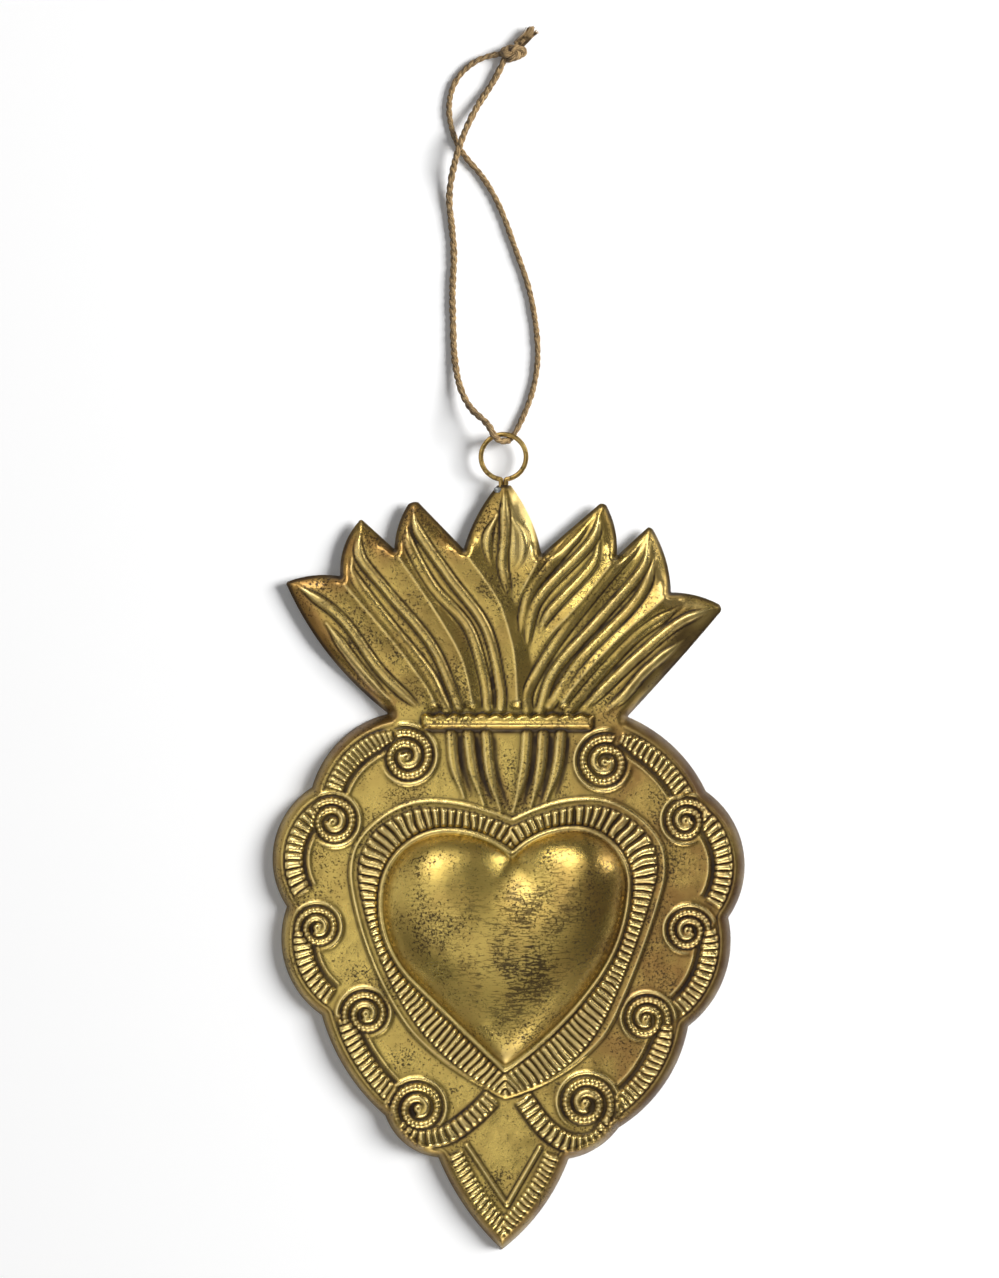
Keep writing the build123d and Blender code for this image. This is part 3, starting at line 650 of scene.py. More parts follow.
def flame_relief(relief, field):
    """Flutes below the bar, the scalloped bar with painted shade on its underside, and the strips of the
    flames.
    """
    x, up = field.x, field.up
    # The flutes, each with a groove on its right, darkened with painted shade.
    for line in FLUTES:
        where, d, share, _ = field.near_line(line, 3.0)
        narrow = 1.0 - 0.6 * smooth(0.45, 1.0, share)
        relief.lift(0.9 * narrow * smooth(1.9 * narrow, narrow, d) * smooth(1.0, 0.97, share), where=where)
        where, d, share, _ = field.near_line(np.add(line, (2.7, 0.0)), 2.0)
        toned = bump(d, 1.1) * smooth(0.0, 0.1, share) * smooth(1.0, 0.8, share)
        relief.height[where] -= 0.35 * toned
        relief.stain_and_shade(0.9 * toned, where)
    # The bar.
    low, lip, top, high = BAR_LEVELS
    scallop = 0.9 * np.abs(np.sin(math.pi * x / 4.6))
    first, last = BAR_ENDS
    along_bar = smooth(first - 1.2, first + 0.6, x) * smooth(last + 1.2, last - 0.6, x)
    face = 1.0 + 0.18 * bump(up - lip - 0.3, 0.7) - 0.06 * smooth(top, high, up)
    across_bar = smooth(low, lip, up) * face * smooth(high + scallop, high + scallop - 0.8, up)
    relief.lift(2.1 * across_bar * along_bar)
    # Painted shade on the bar's underside.
    shaded_underside = 0.72 * along_bar * smooth(low - 0.5, low + 0.2, up)
    relief.stain_and_shade(shaded_underside * smooth(lip, lip - 0.5, up))
    # Roof-shaped crests between the flames, and strips with a cut line on each side.
    roof, strips, cut = np.zeros_like(up), np.zeros_like(up), np.zeros_like(up)
    for line in FLAME_CRESTS:
        where, d, share, _ = field.near_line(line, 6.0)
        fade = 0.45 if line[-1][1] > FLAME_FOOT else 0.93
        slope = 1.8 * smooth(1.0, fade, share) * np.clip(1.0 - d / 5.4, 0.0, 1.0) ** 1.2
        roof[where] = np.maximum(roof[where], slope)
    for line in FLAME_RIDGES:
        where, d, share, length = field.near_line(line, 4.0)
        ends = smooth(0.0, 9.0 / length, share)
        fades = line[-1][1] > FLAME_FOOT or abs(line[-1][0]) > OUTER_FOOT
        taper = smooth(1.0, 1.0 - 12.0 / length, share) if fades else 1.0
        half = 0.45 + 1.2 * ends * taper
        strip = (0.35 + 0.65 * ends) * taper * np.clip(1.0 - (d / half) ** 3, 0.0, 1.0)
        strips[where] = np.maximum(strips[where], strip)
        cut[where] = np.maximum(cut[where], bump(d - half - 0.15, 0.65) * taper * (0.4 + 0.6 * ends))
    cut *= smooth(0.4, 0.08, strips) * smooth(1.4, 0.8, roof) * smooth(CROWN_FOOT + 0.5, CROWN_FOOT + 2.5, up)
    # Grime and painted shade in the cut lines.
    relief.lift(np.maximum(roof, 0.55 * roof + 0.75 * strips), 0.92 * cut)
    relief.height -= 0.3 * cut


def sheet_relief(tin):
    """Heights of the sheet's front on a grid, with its edge, the heart's reach and each point's finish."""
    field = Field(tin.grid_step)
    up = field.up
    edge = [arc(a[:2], b[:2], a[2]) for a, b in zip(SHEET_EDGE, SHEET_EDGE[1:] + SHEET_EDGE[:1])]
    relief = Relief(field.x.shape)
    inset, number, near = border_relief(relief, field, edge, tin)
    dome_in, band_in = heart_relief(relief, field, tin)
    flame_relief(relief, field)
    wander = sum(size * field.noise(cell, seed) for size, cell, seed in DENTS)
    wander *= 1.0 - 0.55 * smooth(0.0, 6.0, dome_in)
    flame = smooth(CROWN_FOOT, CROWN_FOOT + 10.0, up)
    notch = np.min([np.hypot(field.x - SHEET_EDGE[k][0], up - SHEET_EDGE[k][1]) for k in NOTCHES], axis=0)
    run = tin.rim_run + (tin.flame_run - tin.rim_run) * flame * smooth(1.0, 9.0, notch)
    run -= 1.7 * flame * smooth(6.0, 1.0, notch)
    edge_level = tin.thickness + tin.flame_lift * smooth(178.0, 200.0, up)
    hood = bump(field.x - 0.15, 3.6) * smooth(238.0, 246.5, up)
    edge_level += (tin.field_height - 0.3 - edge_level) * hood
    shoulder = np.clip(inset / run, 0.0, 1.0)
    rise = tin.field_height - edge_level
    lift = smooth(0.5, 3.2, inset)
    rounded = 1.0 - (1.0 - shoulder) ** (2.5 - 0.3 * flame)
    height = soften(edge_level + rise * rounded + lift * (relief.height + wander), 1)
    finish = sheet_finish(field, height, relief.soil_and_shade * lift, inset, number, dome_in)
    return field, inset, near, height, edge_level, band_in, finish


def sheet_finish(field, height, soil_and_shade, inset, number, dome_in):
    """Finish of each point: grime and painted shade in hollows, wear and painted highlights on crests, warm
    tips, browner rims partly painted shade, and scuffs on the dome.

    Hollows and crests are what lies below or above the mean of the points around."""
    x, up = field.x, field.up
    close, wide = (mean_around(height, field.cells(reach)) - height for reach in (0.8, 3.0))
    in_flames = smooth(CROWN_FOOT, CROWN_FOOT + 4.0, up)
    inner = smooth(2.6, 4.4, inset) * (1.0 - 0.85 * bump(dome_in - 0.3, 2.2))
    # Grime and painted shade in hollows; painted shade at the dome's tip, on the rims, most on the right rims
    # and below the right outer flame; darker along the outline.
    dips = close * (4.0 + in_flames) + wide * (0.35 - 0.2 * in_flames)
    hollow = np.clip(soil_and_shade + inner * dips, 0.0, 1.0)
    # Painted shade at the dome's tip.
    shaded_dome_tip = bump(np.hypot(x - DOME_FOOT[3][0], up - DOME_FOOT[3][1] - 4.0), 11.0) * (dome_in > 0.0)
    hollow = np.maximum(hollow, 0.5 * shaded_dome_tip)
    # Painted shade on the rims at the right.
    shaded_right_rim = smooth(10.0, 50.0, x) * smooth(4.4, 2.4, inset) * smooth(190.0, 170.0, up)
    lower_left = number != TOP_LEFT_LOBE
    # Painted shade on the lower right side of the right outer flame.
    shaded_flame_foot = (number == RIGHT_FLAME_FOOT) * smooth(9.5, 5.0, inset)
    shaded_flame_foot = shaded_flame_foot * smooth(CROWN_FOOT, CROWN_FOOT + 10.0, up)
    rim = smooth(4.0, 2.6, inset) * (1.0 - in_flames)
    # Painted shade on the rims below the flames, a little less at the left.
    shaded_rim = rim * (0.5 - 0.08 * smooth(-20.0, -55.0, x) * lower_left)
    outline = (0.7 + 0.25 * in_flames) * smooth(1.0 + 0.7 * in_flames, 0.3 + 0.4 * in_flames, inset)
    hollow = np.maximum.reduce((hollow, 0.85 * shaded_flame_foot, 0.75 * shaded_right_rim, shaded_rim, outline))
    # Wear and painted highlights on what stands out and on the bead at the dome's foot, less on the bar; a
    # faint painted highlight on the left rims, and painted highlights on the right flames' edges and on the
    # top flame right of its middle near its tip.
    highlit_left_rim = smooth(0.0, -40.0, x) * smooth(4.2, 2.8, inset)
    highlit_left_rim = highlit_left_rim * smooth(CROWN_FOOT, CROWN_FOOT - 8.0, up) * lower_left
    raised = np.clip(-close * 7.0 - 0.35 - wide * 0.2, 0.0, 1.0)
    crest = np.maximum(raised * inner * (1.0 - soil_and_shade), 0.1 * highlit_left_rim)
    bar = smooth(30.0, 27.5, np.abs(x - 1.2)) * smooth(168.5, 170.0, up) * smooth(177.0, 175.5, up)
    crest *= 1.0 - 0.8 * bar
    # Painted highlights on the top flame right of its middle near its tip, and on the right flames' edges.
    painted_highlight = smooth(1.0, 4.0, x) * smooth(12.0, 8.0, x) * smooth(222.0, 230.0, up)
    right_edge_highlight = 0.5 * smooth(30.0, 42.0, x) * bump(inset - 3.2, 2.4) * smooth(200.0, 208.0, up)
    painted_highlight = np.maximum(painted_highlight, right_edge_highlight)
    crest = np.maximum.reduce((crest, 0.75 * painted_highlight * (1.0 - soil_and_shade), 0.8 * bump(dome_in + 0.5, 0.8)))
    # Warm tint: browner towards the right, in the chased parts and near the flames' tips; on the rims partly
    # a brown tone and partly painted shade, and painted shade on the right rims.
    tips = smooth(200.0, 240.0, up - 0.3 * x) * smooth(10.0, 1.5, inset)
    tips = tips * (0.25 + 0.75 * smooth(-6.0, -16.0, x))
    left_foot = (number == LEFT_FLAME_FOOT) * smooth(7.5, 3.5, inset)
    top_left_rim = (number == TOP_LEFT_LOBE) * smooth(4.4, 2.4, inset)
    warm_flames = 0.3 - 0.2 * smooth(-10.0, 20.0, x) + 0.25 * smooth(30.0, 50.0, x)
    warm_and_shade = warm_flames * in_flames + 0.8 * smooth(5.0, 45.0, x) * (1.0 - in_flames)
    # Browner rims: partly their tone, partly painted shade, less at the left.
    rim_tone_and_shade = (0.75 - 0.3 * smooth(0.0, -40.0, x)) * smooth(4.2, 2.8, inset)
    warm_and_shade = np.maximum(warm_and_shade, rim_tone_and_shade * (1.0 - 0.5 * in_flames))
    chased = 0.4 * smooth(0.08, 0.3, mean_around(soil_and_shade, field.cells(1.6))) * (1.0 - in_flames)
    tint = np.maximum.reduce((warm_and_shade, chased, 0.85 * tips, 0.8 * left_foot, shaded_right_rim, 0.8 * top_left_rim))
    # Scuffs on the dome, most of them right of its middle.
    scuff = smooth(3.0, 13.0, dome_in) * (0.3 + 0.7 * bump(np.hypot(x - 8.0, 0.7 * (up - 95.0)), 34.0))
    return {"hollow": hollow, "crest": crest, "tint": tint, "scuff": scuff}


def mesh_object(name, vertices, quads, material, attributes=None, uv=None):
    """Object at the origin: vertices in metres, four-cornered faces, and named values for each vertex."""
    mesh = bpy.data.meshes.new(name)
    mesh.vertices.add(len(vertices))
    mesh.vertices.foreach_set("co", np.ascontiguousarray(vertices, np.float32).ravel())
    mesh.loops.add(quads.size)
    mesh.loops.foreach_set("vertex_index", np.ascontiguousarray(quads, np.int32).ravel())
    mesh.polygons.add(len(quads))
    mesh.polygons.foreach_set("loop_start", np.arange(0, quads.size, 4, dtype=np.int32))
    mesh.polygons.foreach_set("use_smooth", np.ones(len(quads), bool))
    for key, values in (attributes or {}).items():
        layer = mesh.attributes.new(key, "FLOAT", "POINT")
        layer.data.foreach_set("value", np.ascontiguousarray(values, np.float32))
    if uv is not None:
        layer = mesh.uv_layers.new(name="UVMap")
        layer.data.foreach_set("uv", np.ascontiguousarray(uv[quads.ravel()], np.float32).ravel())
    mesh.update(calc_edges=True)
    mesh.validate()
    mesh.materials.append(material)
    piece = bpy.data.objects.new(name, mesh)
    bpy.context.scene.collection.objects.link(piece)
    return piece


def sheet_piece(name, cells, field, near, on_edge, front, back, finish, material):
    """Closed shell over some of the grid's cells: front, back, and a wall along the cells' border."""
    columns = field.x.shape[1]
    rows, cols = np.nonzero(cells)
    corner = rows * columns + cols
    quads = np.stack((corner, corner + 1, corner + columns + 1, corner + columns), axis=1)
    used, flat_index = np.unique(quads, return_inverse=True)
    quads = flat_index.reshape(quads.shape)
    count = len(used)
    x = np.where(on_edge, near[0], field.x).ravel()[used]
    y = np.where(on_edge, near[1], field.up).ravel()[used] + SHEET_FOOT
    vertices = np.concatenate((np.stack((x, y, front.ravel()[used]), axis=1),
                               np.stack((x, y, back.ravel()[used]), axis=1))) * MM
    sides = np.concatenate([quads[:, (k, (k + 1) % 4)] for k in range(4)])
    key = sides[:, 0] * count + sides[:, 1]
    border = sides[~np.isin(key, sides[:, 1] * count + sides[:, 0])]
    wall = np.stack((border[:, 0] + count, border[:, 1] + count, border[:, 1], border[:, 0]), axis=1)
    faces = np.concatenate((quads, quads[:, ::-1] + count, wall))
    values = {key: np.tile(value.ravel()[used], 2) for key, value in finish.items()}
    values["behind"] = np.repeat((0.0, 1.0), count)
    piece = mesh_object(name, vertices, faces, material, values)
    edges = np.empty(len(piece.data.edges) * 2, np.int32)
    piece.data.edges.foreach_get("vertices", edges)
    edges = np.sort(edges.reshape(-1, 2), axis=1)
    rim = np.sort(np.concatenate((border, border + count)), axis=1)
    sharp = np.isin(edges[:, 0].astype(np.int64) * 2 * count + edges[:, 1],
                    rim[:, 0].astype(np.int64) * 2 * count + rim[:, 1])
    layer = piece.data.attributes.new("sharp_edge", "BOOLEAN", "EDGE")
    layer.data.foreach_set("value", sharp)
    return piece


class Finish:
    """A node material that is put together by short calls."""

    def __init__(self, name):
        self.material = bpy.data.materials.new(name)
        self.material.use_nodes = True
        self.tree = self.material.node_tree
        self.tree.nodes.clear()
        self.output = self.node("ShaderNodeOutputMaterial")

    def node(self, kind, settings=None, **inputs):
        """Adds a node: settings are its own properties, inputs are numbers, colours or sockets by name."""
        node = self.tree.nodes.new(kind)
        for key, value in (settings or {}).items():
            setattr(node, key, value)
        for key, value in inputs.items():
            self.put(node, key.replace("_", " "), value)
        return node

    def put(self, node, key, value):
        """Sets or links one input of a node."""
        socket = node.inputs[int(key[1:])] if key[0] == "i" and key[1:].isdigit() else node.inputs[key]
        if isinstance(value, bpy.types.NodeSocket):
            self.tree.links.new(value, socket)
        else:
            socket.default_value = value

    def value(self, name):
        """A value that the mesh carries at each vertex."""
        return self.node("ShaderNodeAttribute", {"attribute_name": name}).outputs["Fac"]

    def math(self, operation, a, b=0.5, clamp=False):
        settings = {"operation": operation, "use_clamp": clamp}
        return self.node("ShaderNodeMath", settings, i0=a, i1=b).outputs[0]

    def mix(self, share, a, b):
        """Colour a where share is 0 and b where it is 1."""
        node = self.node("ShaderNodeMix", {"data_type": "RGBA"}, i0=share, i6=a, i7=b)
        return node.outputs[2]

    def spread(self, value, low, high, to_low=0.0, to_high=1.0):
        """Maps the range from low to high onto another, held at its ends."""
        node = self.node("ShaderNodeMapRange", None, i0=value, i1=low, i2=high, i3=to_low, i4=to_high)
        return node.outputs[0]

    def noise(self, vector, scale, detail=3.0, roughness=0.55):
        node = self.node("ShaderNodeTexNoise", None, Vector=vector, Scale=scale, Detail=detail,
                         Roughness=roughness)
        return node.outputs["Fac"]

    def place(self):
        """Place on the object, which stands at the frame's origin."""
        return self.node("ShaderNodeTexCoord").outputs["Object"]

    def stretched(self, vector, scale):
        return self.node("ShaderNodeMapping", None, Vector=vector, Scale=scale).outputs[0]

    def bumped(self, height, strength, distance):
        """Normals that follow a fine height."""
        node = self.node("ShaderNodeBump", None, Strength=strength, Distance=distance, Height=height)
        return node.outputs[0]

    def surface(self, **inputs):
        """Closes the material with its surface shader."""
        shader = self.node("ShaderNodeBsdfPrincipled", None, **inputs)
        self.tree.links.new(shader.outputs[0], self.output.inputs[0])
        return self.material


def gilt_finish(tin):
    """Aged gold lacquer: olive gold, worn and with painted highlights on crests, grime and painted shade in
    hollows, speckled, scratched sideways.
    """
    f = Finish("gilt_tin_finish")
    place = f.place()
    keys = ("hollow", "crest", "tint", "scuff", "behind")
    hollow, crest, tint, scuff, behind = (f.value(key) for key in keys)
    blotch = f.noise(place, 95.0)
    speck = f.noise(place, 1150.0, 5.0, 0.75)
    scratch = f.noise(f.stretched(place, (300.0, 1500.0, 600.0)), 1.0, 4.0, 0.65)
    colour = f.mix(f.spread(blotch, 0.38, 0.70, 0.0, 0.27), tuple(tin.gold), tuple(tin.bronze))
    # Bronze tint, with painted shade on the rims.
    warm_and_shade = f.math("MULTIPLY", tint, f.spread(blotch, 0.3, 0.6, 0.45, 1.0))
    colour = f.mix(warm_and_shade, colour, tuple(tin.bronze))
    # Worn gold for wear and painted highlights on the crests.
    toned = f.math("MULTIPLY", crest, f.spread(speck, 0.3, 0.6, 0.55, 1.0))
    colour = f.mix(toned, colour, tuple(tin.worn_and_highlit_gold))
    patch = f.spread(f.noise(place, 60.0, 4.0, 0.6), 0.36, 0.62, -0.07, 0.075)
    pits = f.spread(f.math("ADD", speck, patch), 0.54, 0.62, 0.0, 0.92)
    lines = f.math("MULTIPLY", f.spread(f.math("ADD", scratch, patch), 0.51, 0.60, 0.0, 0.95), scuff)
    # Grime and painted shade in the hollows, with specks and scratches.
    dirt_and_shade = f.math("MULTIPLY", hollow, f.spread(blotch, 0.25, 0.6, 0.8, 1.0))
    dirt_and_shade = f.math("MAXIMUM", dirt_and_shade, f.math("MAXIMUM", pits, lines))
    dirt_and_shade = f.math("MULTIPLY", dirt_and_shade, f.spread(crest, 0.0, 0.6, 1.0, 0.25), True)
    colour = f.mix(dirt_and_shade, colour, tuple(tin.grime_and_shade_colour))
    colour = f.mix(f.math("MULTIPLY", behind, 0.6), colour, BARE_BACK)
    dull = f.math("MAXIMUM", dirt_and_shade, f.math("MULTIPLY", scuff, 0.35))
    rough = f.math("ADD", f.spread(blotch, 0.3, 0.7, 0.22, 0.33), f.math("MULTIPLY", dull, 0.3), True)
    grain = f.math("ADD", f.math("MULTIPLY", speck, 0.7), f.math("MULTIPLY", scratch, 0.3))
    metal = f.spread(dirt_and_shade, 0.2, 1.0, 1.0, 0.8)
    return f.surface(Base_Color=colour, Metallic=metal, Roughness=rough, Normal=f.bumped(grain, 0.6, 0.0002),
                     Coat_Weight=0.14, Coat_Roughness=0.22)


def wire_finish(tin):
    """Aged brass wire: brown gold, rubbed brighter in places, with dark specks."""
    f = Finish("eye_wire_finish")
    place = f.place()
    speck = f.noise(place, 700.0, 4.0, 0.65)
    blotch = f.noise(place, 160.0)
    colour = f.mix(f.spread(blotch, 0.35, 0.65), WIRE_BROWN, WIRE_BRIGHT)
    colour = f.mix(f.spread(speck, 0.48, 0.66, 0.0, 0.75), colour, tuple(tin.grime_and_shade_colour))
    rough = f.spread(speck, 0.3, 0.7, 0.28, 0.5)
    return f.surface(Base_Color=colour, Metallic=1.0, Roughness=rough, Normal=f.bumped(speck, 0.3, 0.0002))


def solder_finish():
    """Dull grey solder with darker flux marks."""
    f = Finish("solder_finish")
    place = f.place()
    speck = f.noise(place, 1400.0, 4.0, 0.65)
    colour = f.mix(f.spread(speck, 0.35, 0.65), SOLDER_GREY, FLUX_DARK)
    rough = f.spread(speck, 0.3, 0.7, 0.35, 0.6)
    return f.surface(Base_Color=colour, Metallic=0.85, Roughness=rough, Normal=f.bumped(speck, 0.5, 0.0003))


def jute_finish(twine):
    """Jute: fibres drawn along the ply by a noise that is stretched along the UV map's first way."""
    f = Finish("jute_finish")
    uv = f.node("ShaderNodeUVMap").outputs[0]
    place = f.place()
    fibre = f.noise(f.stretched(uv, (0.55, 9.0, 1.0)), 1.0, 4.0, 0.6)
    blotch = f.noise(place, 130.0)
    colour = f.mix(f.spread(fibre, 0.41, 0.57), tuple(twine.jute_shade), tuple(twine.jute))
    pale = f.math("MULTIPLY", f.spread(fibre, 0.5, 0.66), f.spread(blotch, 0.4, 0.7, 0.1, 0.6))
    colour = f.mix(pale, colour, JUTE_PALE)
    return f.surface(Base_Color=colour, Roughness=0.85, Normal=f.bumped(fibre, 0.8, 0.0003))


def place_points(points):
    """Points given as x, up, z in millimetres, in metres of the frame."""
    return (np.asarray(points, float) + (0.0, SHEET_FOOT, 0.0)) * MM


def read_spline(name, points):
    """Points of the NURBS spline whose control points are given, in metres, from Blender's own evaluation."""
    curve = bpy.data.curves.new(name, "CURVE")
    curve.dimensions = "3D"
    spline = curve.splines.new("NURBS")
    spline.points.add(len(points) - 1)
    spline.points.foreach_set("co", np.concatenate((points, np.ones((len(points), 1))), axis=1).ravel())
    spline.order_u = 3
    spline.use_endpoint_u = True
    spline.resolution_u = 16
    holder = bpy.data.objects.new(name, curve)
    bpy.context.scene.collection.objects.link(holder)
    bpy.context.view_layer.update()
    mesh = bpy.data.meshes.new_from_object(holder.evaluated_get(bpy.context.evaluated_depsgraph_get()))
    line = np.empty(len(mesh.vertices) * 3)
    mesh.vertices.foreach_get("co", line)
    bpy.data.objects.remove(holder)
    bpy.data.meshes.remove(mesh)
    return line.reshape(-1, 3)


def lengths(line):
    """Length along a line up to each of its points."""
    return np.concatenate(((0.0,), np.cumsum(np.linalg.norm(np.diff(line, axis=0), axis=1))))


def even_line(line, step):
    """The same line with evenly spaced points, and the length up to each of them."""
    runs = lengths(line)
    length = np.linspace(0.0, runs[-1], max(int(runs[-1] / step), 8))
    return np.stack([np.interp(length, runs, line[:, k]) for k in range(3)], axis=1), length


def frames(line, side_of=UPWARD):
    """Directions at each point of a line: sideways to a fixed direction, across both, and along the line."""
    along = np.gradient(line, axis=0)
    along /= np.linalg.norm(along, axis=1)[:, None]
    side = np.cross(along, side_of)
    side /= np.linalg.norm(side, axis=1)[:, None]
    return side, np.cross(side, along), along


def between(first, second, angle):
    """Direction at an angle from the first direction towards the second."""
    return first * math.cos(angle) + second * math.sin(angle)


def ring_faces(rings, count):
    """Faces between rings of count points each, with the first and the last ring closed."""
    i, j = np.meshgrid(np.arange(rings - 1) * count, np.arange(count), indexing="ij")
    after = (j + 1) % count
    walls = np.stack((i + j, i + count + j, i + count + after, i + after), axis=-1).reshape(-1, 4)
    caps = np.array([(0, k, k + 1, min(k + 2, count - 1)) for k in range(1, count - 2, 2)])
    return np.concatenate((walls, caps, caps[:, ::-1] + (rings - 1) * count))


def tube(line, radius, count, side_of=UPWARD, round_ends=True):
    """Vertices, faces and UV of a tube: points at radius (cos a, sin a) across a line.

    Round ends reach half a radius further and are drawn in almost to a point."""
    side, across, along = frames(line, side_of)
    radius = np.broadcast_to(np.asarray(radius, float), len(line)).copy()
    if round_ends:
        first, last = line[:1] - along[:1] * radius[0] * 0.5, line[-1:] + along[-1:] * radius[-1] * 0.5
        line = np.concatenate((first, line, last))
        side, across = (np.concatenate((v[:1], v, v[-1:])) for v in (side, across))
        radius = np.concatenate((radius[:1] * 0.05, radius, radius[-1:] * 0.05))
    angle = 2.0 * math.pi * np.arange(count) / count
    ring = side[:, None] * np.cos(angle)[None, :, None] + across[:, None] * np.sin(angle)[None, :, None]
    vertices = (line[:, None] + ring * radius[:, None, None]).reshape(-1, 3)
    uv = np.stack(np.meshgrid(lengths(line) * 1000.0, angle / math.pi, indexing="ij"), axis=-1).reshape(-1, 2)
    return vertices, ring_faces(len(line), count), uv


def joined(parts):
    """Several vertices, faces, UV triples as one."""
    vertices, quads, uv, before = [], [], [], 0
    for v, q, t in parts:
        vertices.append(v)
        quads.append(q + before)
        uv.append(t)
        before += len(v)
    return np.concatenate(vertices), np.concatenate(quads), np.concatenate(uv)


def two_ply(line, length, diameter, lay, seed, turn=0.0):
    """Two plies wound round a line, half a turn apart: each lies off it at angle 2 pi s / lay plus slack."""
    side, across, _ = frames(line)
    rng = np.random.default_rng(seed)
    wave = rng.uniform(0.0, 6.28, 4)
    swell = 1.0 + 0.06 * np.sin(length * 700.0 + wave[0]) + 0.04 * np.sin(length * 2300.0 + wave[1])
    slack = 0.5 * np.sin(length * 260.0 + wave[2]) + 0.35 * np.sin(length * 610.0 + wave[3])
    parts = []
    for ply in (0.0, math.pi):
        angle = turn + ply + 2.0 * math.pi * length / lay + slack
        out = side * np.cos(angle)[:, None] + across * np.sin(angle)[:, None]
        parts.append(tube(line + out * diameter * PLY_OFF, diameter * PLY_RADIUS * swell, PLY_SIDES))
    return joined(parts)


def hair_tubes(line, count, seed):
    """Loose fibres: thin tubes, about two millimetres long, that leave the twine at a slant and bend back."""
    rng = np.random.default_rng(seed)
    side, across, along = frames(line)
    parts = []
    for index in rng.integers(4, len(line) - 4, count):
        angle = rng.uniform(0.0, 2.0 * math.pi)
        out = between(side[index], across[index], angle)
        lean = along[index] * rng.choice((-1.0, 1.0)) * rng.uniform(0.8, 1.8)
        size = HAIR_REACH * rng.uniform(0.5, 1.0)
        t = np.linspace(0.0, 1.0, 5)[:, None]
        hair = line[index] + out * HAIR_ROOT + (out * (t - 0.45 * t * t) + lean * t) * size * 0.6
        hair[:, 2] = np.maximum(hair[:, 2], HAIR_FLOOR)
        parts.append(tube(hair, HAIR_RADIUS * (1.0 - 0.6 * t[:, 0]), 4, SLANT, False))
    return joined(parts)


def twine_object(name, shape, material):
    """Object from the vertices, faces and UV of twisted or loose fibres."""
    vertices, quads, uv = shape
    return mesh_object(name, vertices, quads, material, uv=uv)


class TINHEART_OT_sheet(bpy.types.Operator):
    """Raise the pressed relief sheet and cut it into flames, heart and two borders"""

    bl_idname = "tinheart.sheet"
    bl_label = "Pressed sheet"

    def execute(self, context):
        tin = context.scene.tin_settings
        field, inset, near, front, edge_level, band_in, finish = sheet_relief(tin)
        corners = (slice(None, -1), slice(1, None))
        mean_inset = sum(inset[a, b] for a in corners for b in corners) / 4.0
        kept = mean_inset > 0.0
        full = np.pad(kept, 1)
        around = [full[a, b] for a in corners for b in corners]
        touched = np.logical_or.reduce(around)
        on_edge = touched & ~np.logical_and.reduce(around)
        front = np.where(on_edge, edge_level, front)
        back = np.minimum(soften(front, 5) - tin.thickness, front - 0.8 * tin.thickness)
        back = np.where(on_edge, edge_level - tin.thickness, np.maximum(back, 0.0))
        cell_x, cell_up = field.x[:-1, :-1], field.up[:-1, :-1]
        in_heart = band_in[:-1, :-1] > -CUT_OUTSIDE
        in_flames = (cell_up > CROWN_FOOT - 1.0) & ~in_heart
        rest = ~in_heart & ~in_flames
        parts = {
            "tin_flames": in_flames, "tin_heart": in_heart,
            "tin_left_border": rest & (cell_x < CUT_MIDDLE),
            "tin_right_border": rest & (cell_x >= CUT_MIDDLE),
        }
        material = gilt_finish(tin)
        for name, cells in parts.items():
            piece = sheet_piece(name, cells & kept, field, near, on_edge, front, back, finish, material)
            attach(piece, "ornament")
            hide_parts("tin_sheet")
        return {"FINISHED"}


class TINHEART_OT_eye(bpy.types.Operator):
    """Bend the wire eye with its two shanks"""

    bl_idname = "tinheart.eye"
    bl_label = "Wire eye"

    def execute(self, context):
        tin = context.scene.tin_settings
        low, high = (np.array(c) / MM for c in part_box("hanging_eye"))
        level = (low[2] + high[2]) / 2.0
        top = high[1] - tin.wire_radius
        ring = tin.ring_radius
        centre_y = top - ring
        beside = tin.wire_radius * 0.99
        turn = math.radians(RING_TURN)
        angle = math.pi / 2.0 + np.linspace(-turn, turn, RING_POINTS)
        x, y = ring * np.cos(angle), centre_y + ring * np.sin(angle)
        circle = np.stack((x, y, np.full(len(x), level)), axis=1)
        t = np.linspace(0.0, 1.0, SHANK_POINTS)[1:, None]
        start, end = circle[-1], np.array((-beside, low[1] + tin.wire_radius, level))
        corner, bend = (np.array((-beside, circle[0, 1] - drop, level)) for drop in (0.3, 1.7))
        shank = np.concatenate(((1 - t) ** 2 * start + 2 * t * (1 - t) * corner + t ** 2 * bend,
                                bend + (end - bend) * t))
        line = np.concatenate(((shank * (-1.0, 1.0, 1.0))[::-1], circle, shank))
        line, _ = even_line(line * MM, LINE_STEP)
        vertices, quads, _ = tube(line, tin.wire_radius * MM, WIRE_SIDES)
        piece = mesh_object("hanging_eye_wire", vertices, quads, wire_finish(tin))
        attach(piece, "ornament")
        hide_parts("hanging_eye")
        return {"FINISHED"}


